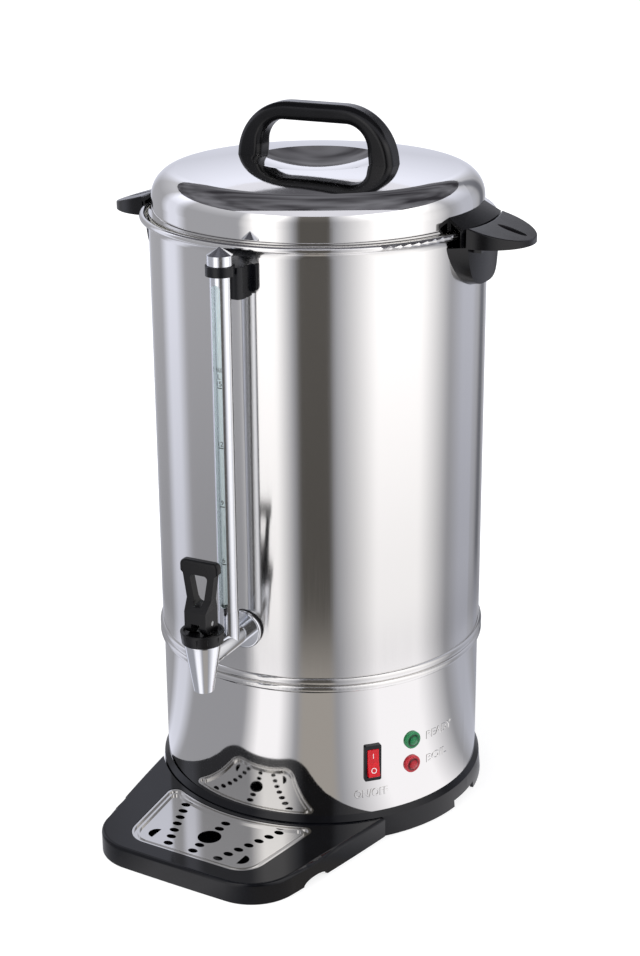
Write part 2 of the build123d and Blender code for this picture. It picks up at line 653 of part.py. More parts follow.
def internal_leads():
    top = WEB_Z + BLOCK_SIZE[2]
    back = BLOCK_Y + BLOCK_SIZE[1] / 2
    low, high = WEB_Z + BLOCK_SIZE[2] * 0.3, WEB_Z + BLOCK_SIZE[2] * 0.7
    leads = []
    for sign in (-1, 1):
        x, y = heading(180 - sign * ELEMENT_GAP, ELEMENT_R)
        end = ELEMENT_Z - ELEMENT_DROP
        inset = BLOCK_Y + BLOCK_SIZE[1] * 0.3
        bow = (x * 1.5, y + LEAD_RUN / 2, (top + end) / 2)
        rise, fall = (x, inset, top + LEAD_RUN), (x, y, end - LEAD_RUN)
        leads.append(wire([(x, inset, top), rise, bow, fall, (x, y, end)]))
        pin_end = SKIRT_R - INLET_BODY[2] - PIN_TAIL
        height = SKIRT_Z + INLET_UP - PIN_SIZE[1]
        x = sign * PIN_PITCH
        rise = (x, pin_end - LEAD_RUN, height)
        leads.append(wire([(x, back, low), (x, back + LEAD_RUN, low), rise, (x, pin_end, height)]))
    for sign, level in ((-1, low), (1, high)):
        place = on_side(SWITCH_AZIMUTH, SKIRT_R - SWITCH_DEPTH, SKIRT_Z + SWITCH_UP + sign * BEZEL_H / 5)
        leads.append(front_lead(place, BLOCK_Y - LEAD_SIDE, level, (LEAD_RUN * 0.6, LEAD_RUN * 3)))
    for up, level in ((BOIL_UP, low), (READY_UP, high)):
        place = on_side(LAMP_AZIMUTH, SKIRT_R - LAMP_DEPTH, SKIRT_Z + up)
        leads.append(front_lead(place, BLOCK_Y + LEAD_SIDE, level, (LEAD_RUN, LEAD_RUN * 4.5)))
    return Compound(leads)


def front_lead(place, y, level, reaches):
    """Lead from the end of the terminal block round to a switch or lamp on the front."""
    side = BLOCK_SIZE[0] / 2
    end, before = place.origin, place.origin - place.z_dir * LEAD_RUN
    straight, wide = side + reaches[0], side + reaches[1]
    turn = (side + reaches[1] * 0.6, y - LEAD_RUN * 0.6, level + LEAD_R)
    return wire([(side, y, level), (straight, y, level), turn, (wide, 0, end.Z - LEAD_RUN), before, end])


def inlet_place():
    return on_side(180, SKIRT_R, SKIRT_Z + INLET_UP)


def inlet_screw_planes():
    """Planes on the flange face, one at each screw."""
    half = INLET_SCREW_PITCH / 2
    return [inlet_place() * Pos(sign * half, 0, INLET_FLANGE[2]) for sign in (-1, 1)]


def power_inlet():
    place = inlet_place()
    wide, high, thick = INLET_FLANGE
    half_x, half_y, deep = INLET_BODY[0] / 2, INLET_BODY[1] / 2, INLET_BODY[2]
    flange = extrude(RectangleRounded(wide, high, INLET_CORNER), thick * 2)
    flange = place * Pos(0, 0, -thick) * flange - rod(SKIRT_R, 0, SEAM_Z)
    body = block((-half_x, half_x), (-half_y, half_y), (-deep, thick))
    mouth = RectangleRounded(INLET_RECESS[0], INLET_RECESS[1], INLET_CORNER - 1)
    recess = extrude(mouth, INLET_RECESS[2] + 1)
    inlet = flange + place * body - place * Pos(0, 0, thick - INLET_RECESS[2]) * recess
    for x, y in pin_places():
        inlet -= place * Pos(x, y, 0) * pin_blade(-deep - 1, thick)
    for side in inlet_screw_planes():
        inlet -= side * rod(INLET_SCREW_R, -15, 1)
    return inlet


def pin_places():
    return [(-PIN_PITCH, -PIN_SIZE[1]), (PIN_PITCH, -PIN_SIZE[1]), (0, PIN_SIZE[1])]


def pin_blade(bottom, top):
    return block((-PIN_SIZE[1] / 2, PIN_SIZE[1] / 2), (-PIN_SIZE[0] / 2, PIN_SIZE[0] / 2), (bottom, top))


def inlet_pins():
    one = pin_blade(-INLET_BODY[2] - PIN_TAIL, INLET_FLANGE[2] - INLET_RECESS[2] + PIN_OUT)
    return Compound([inlet_place() * Pos(x, y, 0) * one for x, y in pin_places()])


def inlet_screws():
    one = Rot(180, 0, 0) * screw(INLET_SCREW_R - FIT, INLET_SCREW_R * 1.9, 1.8, 12)
    return Compound([side * one for side in inlet_screw_planes()])


# ---------------------------------------------------------------------------
# Switch and lamps
# ---------------------------------------------------------------------------
def switch_place():
    return on_side(SWITCH_AZIMUTH, SKIRT_R, SKIRT_Z + SWITCH_UP)


def switch_bezel():
    flange = extrude(RectangleRounded(BEZEL_W, BEZEL_H, 1.5), BEZEL_T + 1)
    flange = switch_place() * Pos(0, 0, -1) * flange - rod(SKIRT_R, 0, SEAM_Z)
    half_w, half_h = SWITCH_BODY_W / 2, SWITCH_BODY_H / 2
    body = block((-half_w, half_w), (-half_h, half_h), (-SWITCH_DEPTH, BEZEL_T))
    half_w, half_h = ROCKER_W / 2 + GAP, ROCKER_H / 2 + 2 * GAP
    well = block((-half_w, half_w), (-half_h, half_h), (-ROCKER_DEPTH - 5, BEZEL_T + 1))
    axle = Rot(0, 90, 0) * Cylinder(ROCKER_PIVOT_R + FIT, ROCKER_W + 2.4)
    bezel = flange + switch_place() * body
    return bezel - switch_place() * well - switch_place() * axle


def switch_rocker():
    half = ROCKER_H / 2
    face = make_face(
        Polyline(
            (-half, ROCKER_DEPTH - 1.5), (0, ROCKER_DEPTH - 3), (half, ROCKER_DEPTH - 1.5),
            (half - 1.6, -1), (3, -ROCKER_DEPTH), (-3, -ROCKER_DEPTH), (1.6 - half, -1), close=True,
        )
    )
    body = Plane.YZ * face
    body = extrude(body, ROCKER_W / 2, both=True)
    body = fillet(body.edges().filter_by(Axis.X).group_by(Axis.Z)[-1], 0.8)
    body += Rot(0, 90, 0) * Cylinder(ROCKER_PIVOT_R, ROCKER_W + 2)
    return switch_place() * Rot(-ROCKER_TILT, 0, 0) * body


def lamp(up):
    place = on_side(LAMP_AZIMUTH, SKIRT_R, SKIRT_Z + up)
    rim = rod(LAMP_R, -1, LAMP_T)
    rim = fillet(rim.edges().sort_by(Axis.Z)[-1], 1.2)
    radius = LAMP_R - 2.6
    ball_r = (radius ** 2 + LAMP_DOME ** 2) / (2 * LAMP_DOME)
    ball = Pos(0, 0, LAMP_T + LAMP_DOME - ball_r) * Sphere(ball_r)
    dome = ball & rod(radius, LAMP_T - 0.5, LAMP_T + LAMP_DOME + 1)
    head = place * (rim + dome) - rod(SKIRT_R, 0, SEAM_Z)
    return head + place * rod(LAMP_BODY_R, -LAMP_DEPTH, 0.5)


def lamp_clips():
    clips = []
    for up in (READY_UP, BOIL_UP):
        place = on_side(LAMP_AZIMUTH, SKIRT_R - SHEET - CLIP_T - 0.4, SKIRT_Z + up)
        clips.append(place * (rod(CLIP_R, 0, CLIP_T) - rod(LAMP_BODY_R + FIT, -1, CLIP_T + 1)))
    return Compound(clips)


# ---------------------------------------------------------------------------
# Tap
# ---------------------------------------------------------------------------
def front_rod(radius, height, back, front):
    """Rod along Y between two distances in front of the vessel axis."""
    return radial_rod(0, height, radius, back, front)


def tap_body():
    plate_back = TANK_R + GASKET_T
    spout = Pos(0, SPOUT_Y, 0) * turned(
        (0, SPOUT_END), (SPOUT_END_R, SPOUT_END), (SPOUT_TOP_R, SPOUT_TOP - 1.5), (SPOUT_TOP_R, SPOUT_TOP),
        (NECK_R, SPOUT_TOP), (NECK_R, PLATE_UNDER - FIT), (0, PLATE_UNDER - FIT))
    plate = front_rod(ESCUTCHEON_R, TAP_Z, plate_back, plate_back + ESCUTCHEON_T)
    plate = fillet(plate.edges().sort_by(Axis.Y)[0], ESCUTCHEON_T * 0.6)
    shank = front_rod(SHANK_R, TAP_Z, TANK_BORE - WASHER_T - BACKNUT_T - 3, plate_back + 1)
    arm = front_rod(ARM_R, TAP_Z, plate_back + 1, -SPOUT_Y)
    socket = rod(SOCKET_R, TAP_Z, SOCKET_TOP, 0, GAUGE_Y) + Pos(0, GAUGE_Y, TAP_Z) * Sphere(SOCKET_R)
    body = spout + plate + shank + arm + socket
    body -= rod(CHAMBER_R, SEAT_Z, COLLAR_TOP, 0, SPOUT_Y)
    body -= rod(OUTLET_R, SPOUT_END - 1, COLLAR_TOP, 0, SPOUT_Y)
    body -= front_rod(ARM_BORE, TAP_Z, TANK_BORE - 30, -SPOUT_Y)
    body -= rod(GLASS_BORE, TAP_Z, SOCKET_TOP + 1, 0, GAUGE_Y)
    body -= rod(SEAL_R, GAUGE_SEAL_Z - 2, SOCKET_TOP + 1, 0, GAUGE_Y)
    return body


def tap_gasket():
    ring = front_rod(GASKET_R, TAP_Z, TANK_R - 5, TANK_R + GASKET_T)
    ring -= front_rod(SHANK_R + FIT, TAP_Z, 0, TANK_R + 9)
    return ring - rod(TANK_R, FLOOR_Z, RIM_Z)


def tap_washer():
    start = TANK_BORE - WASHER_T
    ring = front_rod(BACKNUT_R + 1, TAP_Z, start, TANK_R) - front_rod(SHANK_R + FIT, TAP_Z, 0, TANK_R + 9)
    return ring & rod(TANK_BORE - FIT, FLOOR_Z, RIM_Z)


def tap_backnut():
    place = on_side(0, TANK_BORE - WASHER_T - BACKNUT_T, TAP_Z)
    return place * (extrude(RegularPolygon(BACKNUT_R, 6), BACKNUT_T) - rod(SHANK_R + FIT, -1, BACKNUT_T + 1))


def tap_collar():
    collar = turned(
        (NECK_R + FIT, SPOUT_TOP), (COLLAR_END_R, SPOUT_TOP), (COLLAR_TOP_R, COLLAR_TOP - 0.8),
        (COLLAR_TOP_R - 0.8, COLLAR_TOP), (CUP_R, COLLAR_TOP), (CUP_R - 1, CUP_FLOOR),
        (STEM_R + FIT, CUP_FLOOR), (STEM_R + FIT, PLATE_UNDER), (NECK_R + FIT, PLATE_UNDER))
    for i in range(COLLAR_RIBS):
        x, y = heading(360 / COLLAR_RIBS * (i + 0.5), COLLAR_TOP_R + COLLAR_RIB_R * 0.1)
        collar -= rod(COLLAR_RIB_R, SPOUT_TOP - 1, COLLAR_TOP - 2, x, y)
    return Pos(0, SPOUT_Y, 0) * collar


def tap_lever():
    base, block_top, waist = LEVER_Z, LEVER_Z + LEVER_BLOCK_H, LEVER_Z + LEVER_WAIST_H
    top = LEVER_Z + LEVER_H
    bar = top - LEVER_BAR_H
    corner = LEVER_CORNER
    right = [
        (LEVER_HALF, base), (LEVER_HALF, block_top), (LEVER_WAIST_HALF, waist), (LEVER_SHOULDER_HALF, bar),
        (LEVER_BAR_HALF, bar + corner / 2), (LEVER_BAR_HALF, top)]
    front = make_face(Polyline(*mirrored(right), close=True))
    front = fillet(front.vertices().group_by(Axis.Y)[-1], corner)
    window_top = bar - 0.5
    right = [(WINDOW_END_HALF, window_top - WINDOW_H), (WINDOW_TOP_HALF, window_top)]
    window = make_face(Polyline(*mirrored(right), close=True))
    window = fillet(window.vertices(), WINDOW_CORNER)
    shape = extrude(Plane.XZ * (front - window), LEVER_HALF * 2, both=True)
    half = LEVER_PLATE_T / 2
    ahead = HEEL_AHEAD + HEEL_R
    diagonal = HEEL_R * math.sqrt(0.5)
    heel = ThreePointArc((-HEEL_AHEAD, base), (-HEEL_AHEAD - diagonal, PIN_Z - diagonal), (-ahead, PIN_Z))
    back = Polyline(
        (-ahead, PIN_Z), (-ahead, block_top), (-half, waist), (-half, top), (half, top), (half, waist),
        (LEVER_BACK, block_top), (LEVER_BACK, base), (-HEEL_AHEAD, base))
    side = make_face([heel, back])
    shape &= extrude(Plane.YZ * side, LEVER_BAR_HALF * 2, both=True)
    crown = shape.edges().group_by(Axis.Z)[-1]
    shape = fillet(crown, LEVER_EDGE)
    slot = block((-SLOT_HALF, SLOT_HALF), (-ahead - 1, 0), (base - 1, PIN_Z + SLOT_ABOVE_PIN))
    reach = TONGUE + 2 * GAP
    slot += block((-SLOT_HALF, SLOT_HALF), (-1, reach), (base - 1, PIN_Z))
    slot += Pos(0, 0, PIN_Z) * Rot(0, 90, 0) * Cylinder(reach, SLOT_HALF * 2)
    shape -= slot
    shape -= Pos(0, 0, PIN_Z) * Rot(0, 90, 0) * Cylinder(PIN_R + FIT, LEVER_HALF * 3)
    return Pos(0, SPOUT_Y, 0) * shape


def tap_pin():
    return Pos(0, SPOUT_Y, PIN_Z) * Rot(0, 90, 0) * Cylinder(PIN_R, LEVER_HALF * 2 - 0.4)


def tap_stem():
    flange_z = SEAT_Z + STEM_FLANGE_UP
    stem = rod(STEM_R, SEAT_Z + GAP + SEAT_CUP_H, PIN_Z - TONGUE)
    stem += rod(STEM_R - 1, SEAT_Z + GAP + 2, SEAT_Z + GAP + SEAT_CUP_H + 1)
    stem += rod(STEM_FLANGE_R, flange_z, flange_z + STEM_FLANGE_T)
    stem += block((-TONGUE, TONGUE), (-TONGUE, TONGUE), (LEVER_Z + 0.6, PIN_Z))
    stem += Pos(0, 0, PIN_Z) * Rot(0, 90, 0) * Cylinder(TONGUE, TONGUE * 2)
    stem -= Pos(0, 0, PIN_Z) * Rot(0, 90, 0) * Cylinder(PIN_R + FIT, TONGUE * 3)
    return Pos(0, SPOUT_Y, 0) * stem


def tap_seat_cup():
    bottom = SEAT_Z + GAP
    cup = turned(
        (0, bottom), (SEAT_CUP_R - 2, bottom), (SEAT_CUP_R, bottom + 2), (SEAT_CUP_R, bottom + 4),
        (STEM_R + 1, bottom + SEAT_CUP_H), (0, bottom + SEAT_CUP_H))
    return Pos(0, SPOUT_Y, 0) * (cup - rod(STEM_R - 1 + FIT, bottom + 2 - FIT, bottom + 9))


def spring_span():
    """Lowest and highest point of the coil spring between the stem's flange and the collar's plate."""
    return SEAT_Z + STEM_FLANGE_UP + STEM_FLANGE_T + GAP, PLATE_UNDER - GAP


def tap_spring():
    low, high = spring_span()
    height = high - low - 2 * SPRING_WIRE_R
    coil = Helix(pitch=height / SPRING_TURNS, height=height, radius=SPRING_R)
    section = Plane(coil @ 0, z_dir=coil % 0) * Circle(SPRING_WIRE_R)
    return Pos(0, SPOUT_Y, low + SPRING_WIRE_R) * sweep(section, path=coil, is_frenet=True)


# ---------------------------------------------------------------------------
# Level gauge
# ---------------------------------------------------------------------------
def gauge_tube(bore, radius, bottom, top):
    return Pos(0, GAUGE_Y, 0) * tube(bore, radius, bottom, top)


def gauge_shield():
    shield = gauge_tube(SHIELD_BORE, SHIELD_TUBE_R, SOCKET_TOP, TUBE_TOP)
    low, high = SOCKET_TOP + SLOT_UP, BRACKET_TOP - SLOT_BELOW_RING
    slot = extrude(SlotOverall(high - low, SLOT_W, rotation=90), SHIELD_TUBE_R * 2)
    place = Plane(origin=(0, GAUGE_Y, (low + high) / 2), x_dir=(1, 0, 0), z_dir=(0, -1, 0))
    return shield - place * slot


def gauge_glass():
    return gauge_tube(GLASS_BORE, GLASS_R, GAUGE_SEAL_Z - 2, TUBE_TOP - 1)


def gauge_lower_seal():
    return gauge_tube(GLASS_R, SEAL_R, GAUGE_SEAL_Z, SOCKET_TOP - FIT)


def gauge_upper_seal():
    return gauge_tube(GLASS_R, SHIELD_BORE, BRACKET_TOP - RING_T, BRACKET_TOP)


def gauge_cap():
    bottom, top = BRACKET_TOP + GAP, BRACKET_TOP + CAP_H
    inside = SHIELD_TUBE_R + GAP / 2
    cap = turned(
        (inside, bottom), (CAP_R, bottom), (CAP_R, top), (CAP_R - 1.2, top + 0.7),
        (1.2, top + CAP_CONE_H - 0.6), (0, top + CAP_CONE_H), (0, TUBE_TOP + GAP), (inside, TUBE_TOP + GAP))
    return Pos(0, GAUGE_Y, 0) * cap


def gauge_bracket():
    low, high = BRACKET_BLOCK_TOP - BRACKET_H, BRACKET_BLOCK_TOP
    bore = SHIELD_TUBE_R + FIT
    front = GAUGE_Y + bore
    cheek = rod(BRACKET_CHEEK_R, low, high, 0, -(TANK_R + GAUGE_REACH / 2 - 3))
    cheek &= block((-BRACKET_HALF, BRACKET_HALF), (front - 3, -TANK_R + 6), (low, high))
    half, back = BRACKET_PLATE_HALF, -TANK_R - BRACKET_PLATE_T
    plate = block((-half, half), (back, -TANK_R + 6), (high - BRACKET_PLATE_H, high))
    plate = fillet(plate.edges().filter_by(Axis.Y), 2.5)
    ring = gauge_tube(bore, RING_R, BRACKET_TOP - RING_T, BRACKET_TOP)
    neck_half = BRACKET_HALF - 4
    neck = block((-neck_half, neck_half), (GAUGE_Y + 3, -TANK_R + 2), (BRACKET_TOP - RING_T, high))
    bracket = ring + cheek + plate + neck
    bracket -= rod(bore, low - 1, BRACKET_TOP + 1, 0, GAUGE_Y)
    bracket -= rod(TANK_R, FLOOR_Z, RIM_Z)
    return bracket - front_rod(BRACKET_SCREW_R, BRACKET_SCREW_Z, TANK_R - 2, TANK_R + BRACKET_SCREW_DEPTH)


def gauge_bracket_screw():
    place = on_side(0, TANK_BORE - GAP, BRACKET_SCREW_Z)
    length = TANK_R + BRACKET_SCREW_DEPTH - TANK_BORE
    return place * screw(BRACKET_SCREW_R - FIT, BRACKET_SCREW_R * 2, 2.4, length)


# ---------------------------------------------------------------------------
# Side handles, made at +X and turned round for the left
# ---------------------------------------------------------------------------
def shield_half(half_width, depth, fullness):
    """Right half of a shield outline below its top edge: fullness 1 is a squarer bottom, 0 a pointed one."""
    return [
        (half_width, 0),
        (half_width * (0.84 + 0.12 * fullness), -depth * (0.42 + 0.06 * fullness)),
        (half_width * (0.47 + 0.35 * fullness), -depth * (0.79 + 0.05 * fullness)),
        (0, -depth),
    ]


def shield_face(x, half_width, depth, fullness):
    half = shield_half(half_width, depth, fullness)
    curve = Spline(*half, *[(-a, b) for a, b in reversed(half[:-1])])
    face = make_face([curve, Line(half[0], (-half_width, 0))])
    return Plane((x, 0, SHIELD_TOP), x_dir=(0, 1, 0), z_dir=(1, 0, 0)) * face


def handle_ear():
    root_z = SHIELD_TOP
    height = RIM_Z + EAR_TOP + 2 - root_z
    plan = Pos(EAR_CENTRE, 0) * Circle(EAR_R) + Pos(EAR_CENTRE - 4, 0) * Rectangle(8, EAR_R * 2)
    ear = Pos(0, 0, root_z) * extrude(plan, height) - rod(EAR_ROOT, root_z - 1, RIM_Z + 30)
    slope = math.degrees(math.atan(EAR_SLOPE))
    cover = Pos(EAR_CENTRE - 2, 0, RIM_Z + EAR_TOP) * Rot(0, slope, 0) * block((-20, 60), (-60, 60), (0, 30))
    ear -= cover
    top = ear.faces().sort_by(Axis.Z)[-1]
    ear = fillet(top.edges(), EAR_EDGE)
    middle = EAR_ROOT + DIMPLE_START + DIMPLE_LENGTH / 2
    top_z = RIM_Z + EAR_TOP - (middle - EAR_CENTRE + 2) * EAR_SLOPE
    dimple = scale(Sphere(1), (DIMPLE_LENGTH / 2, DIMPLE_WIDTH / 2, DIMPLE_DEPTH))
    ear -= Pos(middle, 0, top_z) * Rot(0, slope, 0) * dimple
    return ear


def handle_at_right():
    ear = handle_ear()
    shield = loft([
        shield_face(TANK_R - 8, SHIELD_FOOT_HALF + 1, SHIELD_H + 2, 0),
        shield_face(SHIELD_R + 2, SHIELD_HALF - 4, SHIELD_H - 4, 1),
    ])
    shield = shield & rod(SHIELD_R, SHIELD_TOP - SHIELD_H * 2, SHIELD_TOP)
    half = SHIELD_HALF * 0.8
    shelf = block((SHIELD_R - 15, SHIELD_R + 5), (-half, half), (SHIELD_TOP - SHELF_T, SHIELD_TOP + 0.5))
    handle = ear + shield + (shelf - rod(EAR_ROOT, SHIELD_TOP, RIM_Z))
    handle -= rod(TANK_R, FLOOR_Z, RIM_Z)
    lip_z = LEG_Z + TAB_H + 2 * GAP
    lip = tube(TAB_R - TAB_OUT + 2 * GAP, EAR_ROOT + 1, lip_z, lip_z + LIP_H)
    handle += lip & sector(EAR_ROOT + 5, 90 + LIP_START, 90 + LIP_END, lip_z - 1, lip_z + LIP_H + 1)
    for down in HANDLE_SCREW_Z:
        handle -= radial_rod(90, SHIELD_TOP - down, HANDLE_SCREW_R, TANK_R - 2, SHIELD_R - HANDLE_SCREW_END)
    return handle


def side_handle_screws():
    inner = TANK_BORE - HANDLE_PLATE[2] - GAP
    length = SHIELD_R - HANDLE_SCREW_END - GAP - inner
    one = screw(HANDLE_SCREW_R - FIT, HANDLE_SCREW_R * 1.9, 2.6, length)
    places = [(azimuth, SHIELD_TOP - down) for azimuth in (90, 270) for down in HANDLE_SCREW_Z]
    return Compound([on_side(azimuth, inner, height) * one for azimuth, height in places])


def side_handle_plates():
    half_w, half_h = HANDLE_PLATE[0] / 2, HANDLE_PLATE[1] / 2
    middle = SHIELD_TOP - sum(HANDLE_SCREW_Z) / len(HANDLE_SCREW_Z)
    inner = TANK_BORE - HANDLE_PLATE[2] - GAP
    plates = []
    for azimuth in (90, 270):
        plate = block((-half_w, half_w), (-half_h, half_h), (0, HANDLE_PLATE[2]))
        plate = on_side(azimuth, inner, middle) * plate
        for down in HANDLE_SCREW_Z:
            plate -= radial_rod(azimuth, SHIELD_TOP - down, HANDLE_SCREW_R, inner - 5, TANK_R)
        plates.append(plate)
    return Compound(plates)


# ---------------------------------------------------------------------------
# Lid
# ---------------------------------------------------------------------------
def arc_about(centre, radius, start, end):
    """Arc about a centre between two angles given in radians, with its two end points."""
    points = []
    for angle in (start, (start + end) / 2, end):
        points.append((centre[0] + radius * math.cos(angle), centre[1] + radius * math.sin(angle)))
    return ThreePointArc(*points), points[0], points[2]


def lid_form(inset, bottom):
    """The lid as a solid dome, taken in by the given inset, down to the given height."""
    dome, dish = LID_DOME_R - inset, DISH_R + inset
    edge_z = (dome ** 2 - dish ** 2 + DISH_Z ** 2 - DOME_Z ** 2) / (2 * (DISH_Z - DOME_Z))
    edge_r = math.sqrt(dome ** 2 - (edge_z - DOME_Z) ** 2)
    lean = math.atan2(SHOULDER_Z - DOME_Z, SHOULDER_R)
    shoulder, wall_top, crown_start = arc_about((SHOULDER_R, SHOULDER_Z), LID_SHOULDER - inset, 0, lean)
    crown = ThreePointArc(
        crown_start,
        ((crown_start[0] + edge_r) / 2, DOME_Z + math.sqrt(dome ** 2 - ((crown_start[0] + edge_r) / 2) ** 2)),
        (edge_r, edge_z))
    sunk = ThreePointArc(
        (edge_r, edge_z), (edge_r / 2, DISH_Z - math.sqrt(dish ** 2 - (edge_r / 2) ** 2)), (0, DISH_Z - dish))
    rest = Polyline((0, DISH_Z - dish), (0, bottom), (LID_R - inset, bottom), wall_top)
    form = make_face([rest, shoulder, crown, sunk])
    form = fillet(vertex_near(form, edge_r, edge_z), BOWL_EDGE - inset)
    return revolve(Plane.XZ * form, Axis.Z)


def lid_shell():
    plug_z = HEM_Z - LID_PLUG
    shell = lid_form(0, plug_z) - lid_form(SHEET, plug_z - 1)
    hem_r = LID_R + HEM_OUT
    wall = LID_R - SHEET / 2
    shell += turned(
        (wall, FLANGE_Z - SHEET), (hem_r - SHEET, FLANGE_Z - SHEET), (hem_r - SHEET, HEM_Z), (hem_r, HEM_Z),
        (hem_r, FLANGE_Z), (wall, FLANGE_Z))
    for sign in (-1, 1):
        x = sign * grip_screw_x()
        shell -= rod(GRIP_SCREW_R, BOWL_Z - 5, CROWN_Z + 5, x, 0)
    for azimuth, height in rivet_places():
        shell -= radial_rod(azimuth, height, RIVET_R, LID_R - 5, LID_R + 1)
    return shell


def lid_seal():
    bottom = FLANGE_Z - SHEET - GAP - SEAL_H
    top = FLANGE_Z - SHEET - GAP
    inner = LID_R + GAP / 2
    outer = TANK_BORE - FIT
    lip_r = LID_R + HEM_OUT - SHEET - GAP
    return turned(
        (inner, bottom), (outer - 0.8, bottom), (outer, bottom + 1), (outer, HEM_Z - GAP),
        (lip_r, HEM_Z - GAP),
        (lip_r, top), (inner, top))


def grip_screw_x():
    return GRIP_HALF + GRIP_FOOT_FLARE - GRIP_FOOT * 0.3


def lid_handle():
    foot_z = CROWN_Z - GRIP_FOOT_BELOW
    inner_half = GRIP_HALF + GRIP_FOOT_FLARE - GRIP_FOOT
    under = GRIP_TOP - GRIP_BAR
    leg_out = GRIP_HALF + GRIP_FOOT_FLARE
    outer = make_face(Polyline(*mirrored([(leg_out, foot_z), (GRIP_HALF, GRIP_TOP)]), close=True))
    outer = fillet(outer.vertices().group_by(Axis.Y)[-1], GRIP_CORNER)
    inside = inner_half - GRIP_INNER_FLARE
    leg = [(inner_half, foot_z - 1), (inside, under - GRIP_INNER_CORNER - 1), (inside, under)]
    hollow = make_face(Polyline(*mirrored(leg), close=True))
    hollow = fillet(hollow.vertices().group_by(Axis.Y)[-1], GRIP_INNER_CORNER)
    grip = extrude(Plane.XZ * (outer - hollow), GRIP_W / 2, both=True)
    sides = grip.edges().filter_by(lambda e: abs(abs(e.center().Y) - GRIP_W / 2) < FIT)
    grip = fillet(sides.filter_by(lambda e: e.center().Z > foot_z + 1), GRIP_ROUND)
    grip -= lid_form(0, HEM_Z)
    for sign in (-1, 1):
        grip -= rod(GRIP_SCREW_R, BOWL_Z, CROWN_Z + GRIP_SCREW_DEPTH, sign * grip_screw_x(), 0)
    return grip


def lid_handle_screws():
    under = lid_under_z(grip_screw_x() + GRIP_SCREW_HEAD_R)
    length = CROWN_Z + GRIP_SCREW_DEPTH - FIT - under
    one = screw(GRIP_SCREW_R - FIT, GRIP_SCREW_HEAD_R, GRIP_SCREW_HEAD_T, length)
    return Compound([Pos(sign * grip_screw_x(), 0, under) * one for sign in (-1, 1)])


def lid_under_z(radius):
    """Height just below the underside of the crown at this radius."""
    return DOME_Z + math.sqrt((LID_DOME_R - SHEET) ** 2 - radius ** 2) - FIT


def rivet_places():
    return [(side + turn, RIVET_Z) for side in (90, 270) for turn in (-RIVET_HALF, RIVET_HALF)]


def lid_lug_at_right():
    top_z = HEM_Z + LUG_TOP
    root_r = LID_R + FIT
    nose_z = RIM_Z + EAR_TOP - 0.4
    under_leg = nose_z - LUG_T + LUG_LEG
    slope = (top_z - nose_z) / (NOSE_R - root_r)
    foot_r = root_r + LUG_FOOT_T
    lug = turned(
        (root_r, FLANGE_Z + GAP), (foot_r, FLANGE_Z + GAP), (foot_r, top_z - LUG_T - slope * LUG_FOOT_T),
        (LEG_R, under_leg), (LEG_R, LEG_Z), (LEG_OUT, LEG_Z), (LEG_OUT, nose_z - LUG_T),
        (NOSE_R, nose_z - LUG_T + LUG_NOSE), (NOSE_R, nose_z), (root_r, top_z))
    tab = tube(LEG_R, TAB_R, LEG_Z, LEG_Z + TAB_H)
    lug = lug & sector(NOSE_R + 20, 90 - LUG_HALF, 90 + LUG_HALF, LEG_Z - 5, top_z + 5)
    lug += tab & sector(NOSE_R + 20, 90 + TAB_START, 90 + TAB_END, LEG_Z - 5, top_z + 5)
    for azimuth, height in rivet_places()[:2]:
        lug -= radial_rod(azimuth, height, RIVET_R, LID_R - 5, foot_r + 1)
    return lug


def lid_lug_rivets():
    foot_r = LID_R + FIT + LUG_FOOT_T
    head = RIVET_R * 1.6
    rivets = []
    for azimuth, height in rivet_places():
        skin_r = LID_R - SHEET - 2 * FIT
        shank = radial_rod(azimuth, height, RIVET_R - FIT, skin_r, foot_r + RIVET_HEAD_T)
        inner = radial_rod(azimuth, height, head, skin_r - RIVET_HEAD_T, skin_r)
        outer = radial_rod(azimuth, height, head, foot_r + FIT, foot_r + RIVET_HEAD_T + FIT)
        rivets.append(shank + inner + outer)
    return Compound(rivets)


# ---------------------------------------------------------------------------
# Percolator
# ---------------------------------------------------------------------------
def pump_base():
    top = PUMP_Z + PUMP_BASE_H
    knee_r, knee_z = PUMP_BASE_R * 0.75, PUMP_Z + PUMP_BASE_H * 0.55
    return turned(
        (PUMP_BASE_R, PUMP_Z), (PUMP_BASE_R, PUMP_Z + PUMP_SHELL), (knee_r, knee_z), (TUBE_R + 2, top),
        (TUBE_R + FIT, top), (TUBE_R + FIT, top - PUMP_SOCKET),
        (knee_r - PUMP_SHELL, knee_z - PUMP_SHELL * 1.5), (PUMP_BASE_R - PUMP_SHELL * 1.5, PUMP_Z))


def pump_tube():
    return tube(TUBE_BORE, TUBE_R, TUBE_Z, TUBE_END) + tube(TUBE_BORE, STOP_R, STOP_Z, STOP_Z + STOP_T)


def hole_ring(radius, count, bottom, top):
    return Compound([rod(HOLE_R, bottom, top, *heading(360 / count * i, radius)) for i in range(count)])


def coffee_basket():
    sleeve = TUBE_R + GAP
    basket = turned(
        (sleeve, BASKET_Z), (BASKET_R, BASKET_Z), (BASKET_R, BASKET_TOP), (BASKET_R - SHEET, BASKET_TOP),
        (BASKET_R - SHEET, BASKET_Z + SHEET), (sleeve + SLEEVE_WALL, BASKET_Z + SHEET),
        (sleeve + SLEEVE_WALL, BASKET_Z + SLEEVE_H), (sleeve, BASKET_Z + SLEEVE_H))
    for share, count in zip(BASKET_RING_SHARE, BASKET_HOLE_COUNT):
        basket -= hole_ring(BASKET_R * share, count, BASKET_Z - 1, BASKET_Z + SHEET + 1)
    return basket


